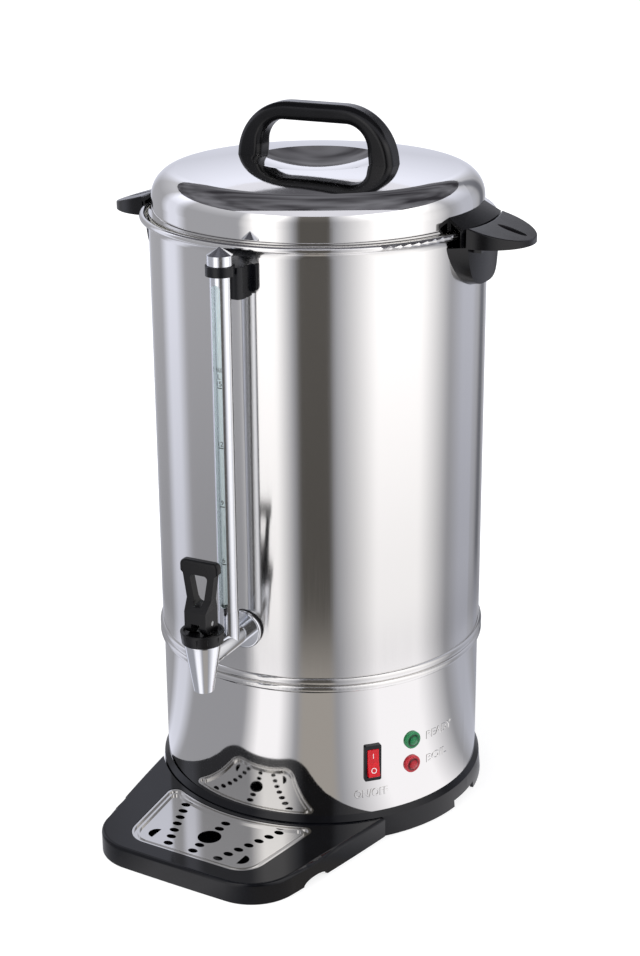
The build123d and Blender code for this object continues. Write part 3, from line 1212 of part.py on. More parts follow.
def basket_cover():
    low = BASKET_TOP + GAP
    radius = BASKET_R + COVER_RIM
    lip_r = BASKET_R - SHEET - 3 * GAP
    cover = turned(
        (TUBE_R + GAP, low), (lip_r - SHEET, low), (lip_r - SHEET, low - COVER_LIP_H),
        (lip_r, low - COVER_LIP_H), (lip_r, low), (radius, low), (radius, low + SHEET),
        (TUBE_R + GAP, low + SHEET))
    for share, count in zip(COVER_RING_SHARE, COVER_HOLE_COUNT):
        cover -= hole_ring(BASKET_R * share, count, low - 1, low + SHEET + 1)
    return cover


# ---------------------------------------------------------------------------
# Drip tray and grid
# ---------------------------------------------------------------------------
def tray_plan(inset=0):
    front, back = TRAY_FRONT + inset, TRAY_BACK
    half = TRAY_FRONT_HALF - inset
    corner_y = front + TRAY_BULGE
    waist_y = -TANK_R
    nose = ThreePointArc((-half, corner_y), (0, front), (half, corner_y))
    waist, end = TRAY_WAIST_HALF - inset, TRAY_BACK_HALF - inset
    right = ThreePointArc((half, corner_y), (waist, waist_y), (end, back))
    left = ThreePointArc((-half, corner_y), (-waist, waist_y), (-end, back))
    close = Line((end, back), (-end, back))
    plan = make_face([nose, right, left, close])
    plan = fillet(plan.vertices().group_by(Axis.Y)[0], TRAY_CORNER - inset)
    return plan - Circle(TRAY_BACK_R + inset)


def grid_plan(inset=0):
    front, back_r = TRAY_FRONT + GRID_FRONT_IN + inset, TANK_R + GRID_BACK_OUT + inset
    corners = mirrored([(GRID_BACK_HALF - inset, -TANK_R * 0.85), (GRID_FRONT_HALF - inset, front)])
    plan = make_face(Polyline(*corners, close=True))
    plan = fillet(plan.vertices().group_by(Axis.Y)[0], GRID_CORNER - inset)
    plan -= Circle(back_r)
    return fillet(plan.vertices().group_by(Axis.Y)[-1], GRID_BACK_CORNER - inset * 0.5)


def drip_tray():
    body = Pos(0, 0, TRAY_CLEAR) * extrude(tray_plan(), TRAY_TOP - TRAY_CLEAR)
    body = fillet(body.edges().group_by(Axis.Z)[-1].sort_by(Axis.Y)[:-1], TRAY_EDGE)
    under = Pos(0, 0, TRAY_CLEAR) * extrude(tray_plan(TRAY_WALL), GRID_Z - GAP - TRAY_WALL - TRAY_CLEAR)
    bowl_shell = Pos(0, 0, TRAY_CLEAR) * extrude(grid_plan(GRID_LEDGE - TRAY_WALL), TRAY_TOP)
    body -= under - bowl_shell
    body -= Pos(0, 0, TRAY_FLOOR) * extrude(grid_plan(GRID_LEDGE), TRAY_TOP)
    body -= Pos(0, 0, GRID_Z - GAP) * extrude(grid_plan(-GAP), TRAY_TOP)
    arch = scale(Cylinder(NOTCH_R, TRAY_BACK_HALF * 3), (NOTCH_H / NOTCH_R, 1, 1))
    arch = Pos(0, TRAY_FRONT + NOTCH_BEHIND, TRAY_CLEAR) * Rot(0, 90, 0) * arch
    inner = TRAY_FRONT_HALF - 2 * TRAY_WALL
    body -= arch - block((-inner, inner), (TRAY_FRONT, 0), (-TRAY_TOP, TRAY_TOP))
    return Rot(0, 0, TRAY_TURN) * body


def drip_grid():
    plate = Pos(0, 0, GRID_Z) * extrude(grid_plan(), SHEET)
    for step in (0, GRID_BEAD_PITCH):
        bead_ring = grid_plan(step) - grid_plan(step + GRID_BEAD)
        plate += Pos(0, 0, GRID_Z + SHEET / 2) * extrude(bead_ring, GRID_BEAD_H + SHEET / 2)
    hole = extrude(Ellipse(GRID_HOLE[0] / 2, GRID_HOLE[1] / 2), 9)
    places = [(0, -TANK_R - out) for out in GRID_MIDDLE]
    for i in range(GRID_ROW):
        share = i / (GRID_ROW - 1)
        x = GRID_ROW_BACK[0] + (GRID_ROW_FRONT[0] - GRID_ROW_BACK[0]) * share
        y = -TANK_R + GRID_ROW_BACK[1] + (GRID_ROW_FRONT[1] - GRID_ROW_BACK[1]) * share
        places += [(x, y), (-x, y)]
    for x, y in places:
        plate -= Pos(x, y, GRID_Z - 2) * hole
    plate -= rod(GRID_DRAIN_R, GRID_Z - 2, GRID_Z + 9, 0, -TANK_R - GRID_DRAIN_OUT)
    for sign in (-1, 1):
        cut = Pos(-sign * CRESCENT_R, 0) * Rectangle(CRESCENT_R * 2, CRESCENT_R * 3)
        half_moon = Circle(CRESCENT_R) - cut
        plate -= Pos(sign * CRESCENT_AT[0], -TANK_R - CRESCENT_AT[1], GRID_Z - 2) * extrude(half_moon, 9)
    return Rot(0, 0, TRAY_TURN) * plate


# ---------------------------------------------------------------------------
# Export
# ---------------------------------------------------------------------------
RIGHT_HANDLE = handle_at_right()
RIGHT_LUG = lid_lug_at_right()

PARTS = {
    "tank_wall": tank_wall(),
    "tank_floor": tank_floor(),
    "skirt_shell": skirt_shell(),
    "base_ring": base_ring(),
    "rubber_feet": rubber_feet(),
    "bottom_plate": bottom_plate(),
    "bottom_screws": bottom_screws(),
    "heating_element": heating_element(),
    "keep_warm_element": keep_warm_element(),
    "heater_clamp": heater_clamp(),
    "tie_stud": tie_stud(),
    "tie_nuts": tie_nuts(),
    "thermostat": thermostat(),
    "thermal_cutout": thermal_cutout(),
    "sensor_straps": sensor_straps(),
    "terminal_block": terminal_block(),
    "internal_leads": internal_leads(),
    "power_inlet": power_inlet(),
    "inlet_pins": inlet_pins(),
    "inlet_screws": inlet_screws(),
    "switch_bezel": switch_bezel(),
    "switch_rocker": switch_rocker(),
    "lamp_ready": lamp(READY_UP),
    "lamp_boil": lamp(BOIL_UP),
    "lamp_clips": lamp_clips(),
    "tap_body": tap_body(),
    "tap_gasket": tap_gasket(),
    "tap_washer": tap_washer(),
    "tap_backnut": tap_backnut(),
    "tap_collar": tap_collar(),
    "tap_lever": tap_lever(),
    "tap_pin": tap_pin(),
    "tap_stem": tap_stem(),
    "tap_seat_cup": tap_seat_cup(),
    "tap_spring": tap_spring(),
    "gauge_shield": gauge_shield(),
    "gauge_glass": gauge_glass(),
    "gauge_lower_seal": gauge_lower_seal(),
    "gauge_upper_seal": gauge_upper_seal(),
    "gauge_cap": gauge_cap(),
    "gauge_bracket": gauge_bracket(),
    "gauge_bracket_screw": gauge_bracket_screw(),
    "side_handle_right": RIGHT_HANDLE,
    "side_handle_left": Rot(0, 0, 180) * RIGHT_HANDLE,
    "side_handle_plates": side_handle_plates(),
    "side_handle_screws": side_handle_screws(),
    "lid_shell": lid_shell(),
    "lid_seal": lid_seal(),
    "lid_handle": lid_handle(),
    "lid_handle_screws": lid_handle_screws(),
    "lid_lug_right": RIGHT_LUG,
    "lid_lug_left": Rot(0, 0, 180) * RIGHT_LUG,
    "lid_lug_rivets": lid_lug_rivets(),
    "pump_base": pump_base(),
    "pump_tube": pump_tube(),
    "coffee_basket": coffee_basket(),
    "basket_cover": basket_cover(),
    "drip_tray": drip_tray(),
    "drip_grid": drip_grid(),
}

for name, shape in PARTS.items():
    export_step(shape, f"parts/{name}.step")
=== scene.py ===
import json
import math

import bmesh
import bpy
from bpy.props import FloatProperty, FloatVectorProperty, PointerProperty
from mathutils import Matrix, Vector
from mathutils.bvhtree import BVHTree

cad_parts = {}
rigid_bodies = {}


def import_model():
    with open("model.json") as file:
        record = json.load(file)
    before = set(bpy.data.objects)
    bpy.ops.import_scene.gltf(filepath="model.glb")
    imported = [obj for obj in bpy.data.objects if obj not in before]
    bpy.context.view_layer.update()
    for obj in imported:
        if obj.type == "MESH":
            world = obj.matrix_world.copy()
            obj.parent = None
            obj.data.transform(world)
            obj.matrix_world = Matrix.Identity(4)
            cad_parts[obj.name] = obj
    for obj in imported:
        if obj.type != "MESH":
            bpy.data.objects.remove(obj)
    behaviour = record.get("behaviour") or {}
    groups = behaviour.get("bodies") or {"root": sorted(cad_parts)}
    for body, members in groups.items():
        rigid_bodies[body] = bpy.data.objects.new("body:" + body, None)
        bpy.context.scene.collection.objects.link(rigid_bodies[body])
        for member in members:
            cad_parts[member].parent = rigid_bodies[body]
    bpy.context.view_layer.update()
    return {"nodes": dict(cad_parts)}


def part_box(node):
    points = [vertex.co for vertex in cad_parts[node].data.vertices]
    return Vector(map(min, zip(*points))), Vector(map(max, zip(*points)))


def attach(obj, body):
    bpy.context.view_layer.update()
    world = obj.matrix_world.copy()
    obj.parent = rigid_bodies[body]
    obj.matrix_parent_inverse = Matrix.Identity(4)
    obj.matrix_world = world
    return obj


bl_info = {
    "name": "Coffee urn finishes",
    "version": (1, 0, 0),
    "blender": (4, 5, 0),
    "location": "3D View > Sidebar > Urn",
    "description": "Finishes, printed and moulded details, stage and camera for a catering coffee urn",
    "category": "Object",
}

for leftover in list(bpy.data.objects):
    bpy.data.objects.remove(leftover)

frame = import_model()
NODES = frame["nodes"]
MM = 0.001


def linear(hex_colour):
    """Turns an sRGB hex colour into linear red, green and blue."""
    channels = [int(hex_colour[i:i + 2], 16) / 255 for i in (1, 3, 5)]
    return tuple(c / 12.92 if c <= 0.04045 else ((c + 0.055) / 1.055) ** 2.4 for c in channels)


# ---------------------------------------------------------------------------
# Sizes and colours that a user would change
# ---------------------------------------------------------------------------
def colour(name, description, hex_colour):
    return FloatVectorProperty(
        name=name, description=description, subtype="COLOR", size=3, min=0, max=1,
        default=linear(hex_colour))


def length(name, description, millimetres):
    return FloatProperty(
        name=name, description=description, subtype="DISTANCE", unit="LENGTH", precision=5,
        default=millimetres * MM)


class UrnFinishes(bpy.types.PropertyGroup):
    """Colours of the urn's materials"""
    steel: colour("Stainless steel", "Reflection colour of the polished sheet", "#dddcda")
    chrome: colour("Chrome", "Reflection colour of the plated brass", "#e2e4e8")
    abs_black: colour("Black ABS", "Base ring, drip tray, gauge bracket", "#0b0c10")
    phenolic_black: colour("Black phenolic", "Handles, lugs and tap lever", "#08080a")
    rocker_red: colour("Rocker red", "Tinted polycarbonate of the switch rocker", "#c80f1e")
    ready_green: colour("Ready lamp", "Tinted lens of the upper lamp", "#006d3c")
    boil_red: colour("Boil lamp", "Tinted lens of the lower lamp", "#a00a1e")
    ink: colour("Scale ink", "Ink of the level scale", "#16181b")


class UrnLettering(bpy.types.PropertyGroup):
    """Sizes of the stamped words and of the printed scale"""
    relief: length("Relief", "How far a stamped letter stands out of the skirt", 0.55)
    edge: FloatProperty(
        name="Letter edge", description="Rounding of a stamped letter, as a share of its size",
        default=0.028)
    stamped_height: length("Stamped letter height", "Height of the words on the skirt", 7.4)
    scale_height: length("Scale figure height", "Height of the printed figures", 3.9)
    tick_height: length("Tick height", "Thickness of a printed level mark", 0.75)


class UrnStage(bpy.types.PropertyGroup):
    """Stage and camera"""
    lens: FloatProperty(name="Lens", description="Focal length in millimetres", default=71.37, min=10)
    camera_azimuth: FloatProperty(
        name="Camera azimuth", description="Angle of the camera from the tap towards the right handle",
        subtype="ANGLE", default=math.radians(26.6))
    camera_distance: length("Camera distance", "From the vessel's axis, measured level", 1546.0)
    camera_height: length("Camera height", "Above the table", 842.0)
    camera_pitch: FloatProperty(
        name="Camera pitch", description="How far the camera looks down", subtype="ANGLE",
        default=math.radians(20.08))
    camera_roll: FloatProperty(
        name="Camera roll", description="Turn of the camera about its own axis", subtype="ANGLE",
        default=math.radians(-0.392))
    tent_radius: length("Light tent radius", "From the vessel's axis to the diffusing wall", 440.0)
    tent_height: length("Light tent height", "Top of the diffusing wall above the table", 760.0)
    key_power: FloatProperty(
        name="Key lamp", description="Power of the large lamp for each square metre", default=16.0)
    fill_power: FloatProperty(
        name="Fill lamp", description="Power of the second lamp for each square metre", default=9.0)


# ---------------------------------------------------------------------------
# Node and mesh helpers
# ---------------------------------------------------------------------------
def add_node(tree, kind, inputs=None, stops=None, **settings):
    """Adds one node, applies its settings, fills or links its inputs, and sets a ramp's stops."""
    node = tree.nodes.new(kind)
    for name, value in settings.items():
        setattr(node, name, value)
    for name, value in (inputs or {}).items():
        if isinstance(value, bpy.types.NodeSocket):
            tree.links.new(value, node.inputs[name])
        else:
            node.inputs[name].default_value = value
    if stops:
        elements = node.color_ramp.elements
        while len(elements) < len(stops):
            elements.new(1.0)
        for element, (place, shade) in zip(elements, stops):
            element.position = place
            element.color = (*shade, 1)
    return node


def bare_material(name):
    """Material whose node tree is still empty."""
    material = bpy.data.materials.new(name)
    material.use_nodes = True
    material.node_tree.nodes.clear()
    return material, material.node_tree


def new_material(name, **sockets):
    """Material with one Principled shader, whose constants go straight on its sockets."""
    material, tree = bare_material(name)
    constants = {socket.replace("_", " "): value for socket, value in sockets.items()}
    shader = add_node(tree, "ShaderNodeBsdfPrincipled", constants)
    add_node(tree, "ShaderNodeOutputMaterial", {"Surface": shader.outputs[0]})
    return material, tree, shader


def spacing(millimetres):
    """Noise scale, for object coordinates in metres, that gives features of this size."""
    return 1 / (millimetres * MM)


def grain(tree, millimetres, stretch=(1, 1, 1), detail=3.0):
    """Noise over the object's own coordinates with features of this size, drawn out along an axis."""
    place = add_node(tree, "ShaderNodeTexCoord")
    mapped = add_node(tree, "ShaderNodeMapping", {"Vector": place.outputs["Object"], "Scale": stretch})
    noise = add_node(
        tree, "ShaderNodeTexNoise",
        {"Vector": mapped.outputs[0], "Scale": spacing(millimetres), "Detail": detail, "Roughness": 0.55})
    return noise.outputs["Fac"]


def between(tree, value, low, high):
    """Maps a noise of about 0.3 to 0.7 onto a range."""
    return add_node(
        tree, "ShaderNodeMapRange",
        {"Value": value, "From Min": 0.3, "From Max": 0.7, "To Min": low, "To Max": high}).outputs[0]


def relief(tree, shader, height, millimetres, strength=1.0, under=None):
    """Adds a bump of this real depth to a shader's normal, on top of another bump if one is given."""
    inputs = {"Height": height, "Distance": millimetres * MM, "Strength": strength}
    if under:
        inputs["Normal"] = under
    bump = add_node(tree, "ShaderNodeBump", inputs)
    tree.links.new(bump.outputs[0], shader.inputs["Normal"])
    return bump.outputs[0]


def shaded(tree, value, dark, light):
    """Colour that runs from dark to light with a noise."""
    return add_node(tree, "ShaderNodeValToRGB", {0: value}, stops=[(0.3, dark), (0.7, light)]).outputs[0]


def times(shade, factor):
    return tuple(c * factor for c in shade)


def dress(node, material):
    """Gives a CAD node its finish."""
    NODES[node].data.materials.clear()
    NODES[node].data.materials.append(material)


def new_piece(name, mesh, material, body):
    """Links a new mesh piece, with its finish and body."""
    piece = bpy.data.objects.new(name, mesh)
    mesh.materials.clear()
    mesh.materials.append(material)
    bpy.context.scene.collection.objects.link(piece)
    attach(piece, body)
    return piece


def heading(azimuth, radius):
    """X and Y at an azimuth in degrees, counted from the tap towards the right handle."""
    angle = math.radians(azimuth)
    return radius * math.sin(angle), -radius * math.cos(angle)


def word_mesh(name, words, depth, edge):
    """Flat mesh of a word, extruded towards +Z with a rounded edge."""
    curve = bpy.data.curves.new(name, "FONT")
    curve.body = words
    curve.extrude = depth / 2
    curve.bevel_depth = edge
    curve.bevel_resolution = 2
    curve.resolution_u = 6
    holder = bpy.data.objects.new(name + "_curve", curve)
    bpy.context.scene.collection.objects.link(holder)
    bpy.context.view_layer.update()
    mesh = bpy.data.meshes.new_from_object(holder.evaluated_get(bpy.context.evaluated_depsgraph_get()))
    bpy.data.objects.remove(holder)
    mesh.name = name
    return mesh


def fit_mesh(mesh, width, height):
    """Centres a mesh in X and Y, scales it there to a real width and height, and sets its back at z = 0."""
    points = [v.co for v in mesh.vertices]
    low = Vector(min(p[i] for p in points) for i in range(3))
    high = Vector(max(p[i] for p in points) for i in range(3))
    middle = (low + high) / 2
    wide = width / (high.x - low.x) if width else height / (high.y - low.y)
    tall = height / (high.y - low.y)
    for vertex in mesh.vertices:
        x, y, z = vertex.co
        vertex.co = ((x - middle.x) * wide, (y - middle.y) * tall, z - low.z)


def wrap_mesh(mesh, centre, radius, azimuth, height):
    """Bends a flat mesh onto an upright cylinder: X along it, Y up, Z out of it."""
    for vertex in mesh.vertices:
        x, y, z = vertex.co
        across, along = heading(azimuth + math.degrees(x / radius), radius + z)
        vertex.co = (centre[0] + across, centre[1] + along, height + y)


def mesh_of(name, form):
    """Turns a bmesh into a mesh and frees it."""
    mesh = bpy.data.meshes.new(name)
    form.to_mesh(mesh)
    form.free()
    return mesh


def strip_mesh(name, columns):
    """Closed strip through columns of four points each."""
    form = bmesh.new()
    rows = [[form.verts.new(point) for point in column] for column in columns]
    for a, b in zip(rows, rows[1:]):
        for i in range(4):
            form.faces.new((a[i], a[(i + 1) % 4], b[(i + 1) % 4], b[i]))
    form.faces.new(rows[0])
    form.faces.new(reversed(rows[-1]))
    bmesh.ops.recalc_face_normals(form, faces=form.faces)
    return mesh_of(name, form)


def smooth(mesh, angle=40.0):
    """Shades a mesh smooth, with sharp edges kept above an angle."""
    mesh.polygons.foreach_set("use_smooth", [True] * len(mesh.polygons))
    mesh.set_sharp_from_angle(angle=math.radians(angle))


# ---------------------------------------------------------------------------
# Materials
# ---------------------------------------------------------------------------
RIPPLE_MM, RIPPLE_DEPTH, LINE_DEPTH = 55.0, 0.02, 0.004


def stainless(name, tint, roughness, grit_mm, smear):
    """Polished stainless sheet: bright, faintly rippled, with reflections drawn out along its height."""
    material, tree, shader = new_material(
        name, Metallic=1.0, Base_Color=(*tint, 1), Anisotropic=smear, Anisotropic_Rotation=0.25)
    if smear:
        round_axis = add_node(tree, "ShaderNodeTangent", direction_type="RADIAL", axis="Z")
        tree.links.new(round_axis.outputs[0], shader.inputs["Tangent"])
    # real polishing lines are about 0.05 mm apart, too fine to see, so they are drawn at grit_mm
    lines = grain(tree, grit_mm, stretch=(1, 1, 0.012), detail=4.0)
    tree.links.new(between(tree, lines, roughness * 0.8, roughness * 1.25), shader.inputs["Roughness"])
    wave = grain(tree, RIPPLE_MM, stretch=(1, 1, 0.5), detail=1.0)
    ripple = relief(tree, shader, wave, RIPPLE_DEPTH)
    relief(tree, shader, lines, LINE_DEPTH, under=ripple)
    return material


def plated_chrome(name, tint, roughness):
    """Bright chrome plate: almost a mirror, with a trace of the buffing under it."""
    material, tree, shader = new_material(name, Metallic=1.0, Base_Color=(*tint, 1))
    buff = grain(tree, 2.5)
    tree.links.new(between(tree, buff, roughness * 0.8, roughness * 1.3), shader.inputs["Roughness"])
    relief(tree, shader, grain(tree, 18.0, detail=1.0), 0.006)
    return material


def moulded_plastic(name, tint, roughness, grain_mm=0.6):
    """Dark moulded plastic: soft sheen from a fine moulded grain, with slightly uneven gloss."""
    material, tree, shader = new_material(name, IOR=1.46, Specular_IOR_Level=0.36)
    cloud = grain(tree, 14.0, detail=2.0)
    tree.links.new(shaded(tree, cloud, times(tint, 0.85), times(tint, 1.2)), shader.inputs["Base Color"])
    tree.links.new(between(tree, cloud, roughness * 0.88, roughness * 1.12), shader.inputs["Roughness"])
    relief(tree, shader, grain(tree, grain_mm, detail=1.0), 0.006, 0.5)
    return material


def tinted_polycarbonate(name, tint, roughness=0.12, glow=0.0):
    """Tinted clear plastic: glossy, with light soaking a little way into the colour."""
    # glow gives off light in the tint: a lamp's own light on a lens, a painted glow on the rocker
    material, tree, shader = new_material(
        name, Roughness=roughness, IOR=1.58, Specular_IOR_Level=0.3, Subsurface_Weight=0.35,
        Subsurface_Radius=(0.003, 0.001, 0.001), Subsurface_Scale=1.0, Emission_Color=(*tint, 1),
        Emission_Strength=glow)
    cloud = grain(tree, 4.0, detail=2.0)
    tree.links.new(shaded(tree, cloud, times(tint, 0.88), times(tint, 1.12)), shader.inputs["Base Color"])
    relief(tree, shader, grain(tree, 2.0, detail=1.0), 0.004)
    return material


def clear_glass(name):
    """Drawn borosilicate tube: clear, with the faintest ripple from drawing, letting lamp light through."""
    material, tree, shader = new_material(
        name, Base_Color=(*linear("#fbfdfd"), 1), Roughness=0.01, IOR=1.473, Transmission_Weight=1.0)
    relief(tree, shader, grain(tree, 8.0, stretch=(1, 1, 0.1), detail=1.0), 0.003)
    path = add_node(tree, "ShaderNodeLightPath")
    clear = add_node(tree, "ShaderNodeBsdfTransparent", {"Color": (*linear("#e8f3f0"), 1)})
    mix = add_node(
        tree, "ShaderNodeMixShader",
        {0: path.outputs["Is Shadow Ray"], 1: shader.outputs[0], 2: clear.outputs[0]})
    end = next(node for node in tree.nodes if node.type == "OUTPUT_MATERIAL")
    tree.links.new(mix.outputs[0], end.inputs["Surface"])
    return material


def enamel(name):
    """Pale stoved enamel on the strip behind the glass: a soft blue-grey, darker towards the bottom, with a
    painted glow in the same colour.
    """
    # painted light: the strip glows (Emission Strength 0.75) in place of the light that would reach it
    # behind the glass
    material, tree, shader = new_material(name, Roughness=0.35, IOR=1.5, Emission_Strength=0.75)
    place = add_node(tree, "ShaderNodeTexCoord")
    split = add_node(tree, "ShaderNodeSeparateXYZ", {0: place.outputs["Object"]})
    rise = add_node(
        tree, "ShaderNodeMapRange", {"Value": split.outputs["Z"], "From Min": 0.2, "From Max": 0.5})
    tone = add_node(
        tree, "ShaderNodeValToRGB", {0: rise.outputs[0]},
        stops=[(0.0, linear("#a3aaad")), (0.45, linear("#b4bdc0")), (1.0, linear("#d5dee2"))])
    tree.links.new(tone.outputs[0], shader.inputs["Base Color"])
    # the painted glow takes the same colour, so it is darker towards the bottom too
    tree.links.new(tone.outputs[0], shader.inputs["Emission Color"])
    relief(tree, shader, grain(tree, 3.0, detail=1.0), 0.004)
    return material


def lamp_lens(name, tint, centre):
    """Tinted lens in circular steps: a painted highlight on the rim, painted shade in the groove, a pale
    middle and a faint glow.
    """
    material = tinted_polycarbonate(name, tint, 0.06, 0.05)
    tree = material.node_tree
    shader = next(node for node in tree.nodes if node.type == "BSDF_PRINCIPLED")
    place = add_node(tree, "ShaderNodeTexCoord")
    across = add_node(
        tree, "ShaderNodeVectorMath", {0: place.outputs["Object"], 1: centre}, operation="DISTANCE")
    share = add_node(
        tree, "ShaderNodeMapRange",
        {"Value": across.outputs["Value"], "From Min": 0.0, "From Max": LAMP_R * MM})
    # painted light: pale is a painted highlight at the rim and also the pale middle; the stops at 0.58 and
    # 0.68 paint shade into the groove
    pale = tuple(min(1.0, c * 1.5 + 0.04) for c in tint)
    tone = add_node(
        tree, "ShaderNodeValToRGB", {0: share.outputs[0]},
        stops=[(0.0, pale), (0.5, times(tint, 1.1)), (0.58, times(tint, 0.2)), (0.68, times(tint, 0.25)),
               (0.74, times(tint, 1.1)), (1.0, pale)])
    tree.links.new(tone.outputs[0], shader.inputs["Base Color"])
    return material


def rubber(name, tint, roughness=0.75, translucent=0.0):
    """Moulded rubber or silicone: dull, fine pored."""
    material, tree, shader = new_material(
        name, IOR=1.45, Subsurface_Weight=translucent, Subsurface_Radius=(0.002, 0.002, 0.002),
        Subsurface_Scale=1.0)
    pores = grain(tree, 0.7)
    tree.links.new(shaded(tree, pores, times(tint, 0.8), times(tint, 1.15)), shader.inputs["Base Color"])
    tree.links.new(between(tree, pores, roughness * 0.9, roughness * 1.1), shader.inputs["Roughness"])
    relief(tree, shader, pores, 0.03, 0.4)
    return material


def plain_metal(name, hex_colour, roughness, speck_mm=1.5):
    """Plated or bare metal of the inner works: dull shine with small tarnish specks."""
    tint = linear(hex_colour)
    material, tree, shader = new_material(name, Metallic=1.0)
    specks = grain(tree, speck_mm)
    tree.links.new(shaded(tree, specks, times(tint, 0.85), times(tint, 1.05)), shader.inputs["Base Color"])
    tree.links.new(between(tree, specks, roughness * 0.8, roughness * 1.2), shader.inputs["Roughness"])
    relief(tree, shader, specks, 0.01, 0.4)
    return material


def steatite(name):
    """Glazed steatite ceramic: off-white, faintly mottled, under a thin glaze."""
    material, tree, shader = new_material(name, Coat_Weight=0.5, Coat_Roughness=0.1, Roughness=0.4, IOR=1.6)
    mottle = grain(tree, 3.0)
    tree.links.new(shaded(tree, mottle, linear("#cfc9b8"), linear("#e2ddcf")), shader.inputs["Base Color"])
    relief(tree, shader, mottle, 0.02, 0.3)
    return material


def scale_ink(name, tint):
    """Screen-printed ink: matt black, slightly uneven where it was laid down."""
    material, tree, shader = new_material(name, Roughness=0.55, IOR=1.5)
    cloud = grain(tree, 1.2)
    tree.links.new(shaded(tree, cloud, times(tint, 0.7), times(tint, 1.4)), shader.inputs["Base Color"])
    return material


def white_paint(name):
    """Pad-printed white marking on the rocker."""
    material, tree, shader = new_material(name, Roughness=0.4, IOR=1.5)
    cloud = grain(tree, 1.0)
    tree.links.new(shaded(tree, cloud, linear("#e9dcdc"), linear("#fbf6f6")), shader.inputs["Base Color"])
    return material


# ---------------------------------------------------------------------------
# Operators
# ---------------------------------------------------------------------------
STEEL_NODES = {
    "tank_wall": ("stainless_satin_polished", 0.13, 0.9, 0.9),
    "skirt_shell": ("stainless_skirt_polished", 0.05, 0.9, 0.0),
    "lid_shell": ("stainless_mirror_polished", 0.04, 1.2, 0.0),
    "drip_grid": ("stainless_pressed_grid", 0.08, 0.8, 0.0),
    "tank_floor": ("stainless_drawn_floor", 0.2, 1.0, 0.0),
    "pump_base": ("stainless_pump_base", 0.2, 0.8, 0.0),
    "pump_tube": ("stainless_pump_tube", 0.16, 0.6, 0.5),
    "coffee_basket": ("stainless_basket", 0.2, 0.8, 0.0),
    "basket_cover": ("stainless_cover", 0.2, 0.8, 0.0),
    "side_handle_plates": ("stainless_plates", 0.3, 0.8, 0.0),
}


class URN_OT_steelwork(bpy.types.Operator):
    """Finishes the tank, skirt, lid, grid and percolator in stainless steel"""
    bl_idname = "urn.steelwork"
    bl_label = "Steelwork"

    def execute(self, context):
        tint = tuple(context.scene.urn_finishes.steel)
        for node, (name, roughness, grit, smear) in STEEL_NODES.items():
            dress(node, stainless(name, tint, roughness, grit, smear))
        return {"FINISHED"}


class URN_OT_mouldings(bpy.types.Operator):
    """Finishes the black base, tray, bracket, handles and lugs"""
    bl_idname = "urn.mouldings"
    bl_label = "Black mouldings"

    def execute(self, context):
        finishes = context.scene.urn_finishes
        glossy = moulded_plastic("abs_moulded_gloss_black", tuple(finishes.abs_black), 0.08)
        satin = moulded_plastic("abs_moulded_satin_black", tuple(finishes.abs_black), 0.28)
        phenolic = moulded_plastic("phenolic_moulded_black", tuple(finishes.phenolic_black), 0.24, 0.5)
        for node in ("base_ring", "drip_tray"):
            dress(node, glossy)
        dress("gauge_bracket", satin)
        dress("switch_bezel", satin)
        dress("power_inlet", satin)
        for node in (
                "side_handle_right", "side_handle_left", "lid_handle", "lid_lug_right", "lid_lug_left"):
            dress(node, phenolic)
        return {"FINISHED"}


class URN_OT_tap(bpy.types.Operator):
    """Finishes the tap with its collar, lever and seals"""
    bl_idname = "urn.tap"
    bl_label = "Tap"

    def execute(self, context):
        finishes = context.scene.urn_finishes
        black = moulded_plastic("nylon_moulded_black", tuple(finishes.phenolic_black), 0.3, 0.5)
        dress("tap_body", plated_chrome("chrome_plated_tap", tuple(finishes.chrome), 0.1))
        dress("tap_collar", black)
        dress("tap_lever", black)
        dress("tap_gasket", rubber("rubber_gasket_black", linear("#141416")))
        seal = rubber("silicone_moulded_white", linear("#d9d8d2"), 0.5, 0.3)
        for node in ("tap_washer", "tap_seat_cup", "gauge_lower_seal", "gauge_upper_seal", "lid_seal"):
            dress(node, seal)
        dress("tap_backnut", plain_metal("brass_turned", "#c6a15a", 0.25))
        steel = plain_metal("steel_turned_bright", "#b9bbbd", 0.2)
        for node in ("tap_pin", "tap_stem", "tap_spring"):
            dress(node, steel)
        return {"FINISHED"}


LEVEL_MARKS = ((15, 407.1), (12, 358.2), (9, 309.3), (6, 260.4))    # litres, and height of the mark
FIGURE_UP, LETTER_UP, WORD_UP = 3.4, 9.0, 14.4                      # print above its mark, in mm
WORD_WIDTH, TICK_WIDTH = 5.4, 4.4
INK_LIFT, INK_T = 0.03, 0.04                                        # ink off the glass, and its thickness
PRINT_DEPTH, PRINT_FLATTEN = 0.02, 0.002                            # before scaling, and share kept after
BACKING_IN, BACKING_OUT = 6.1, 6.5                                  # radii of the strip behind the glass
BACKING_FROM, BACKING_SWEEP, BACKING_COLUMNS = 100, 160, 32
BACKING_LOW, BACKING_HIGH = 12, 8                                   # strip short of the glass's ends


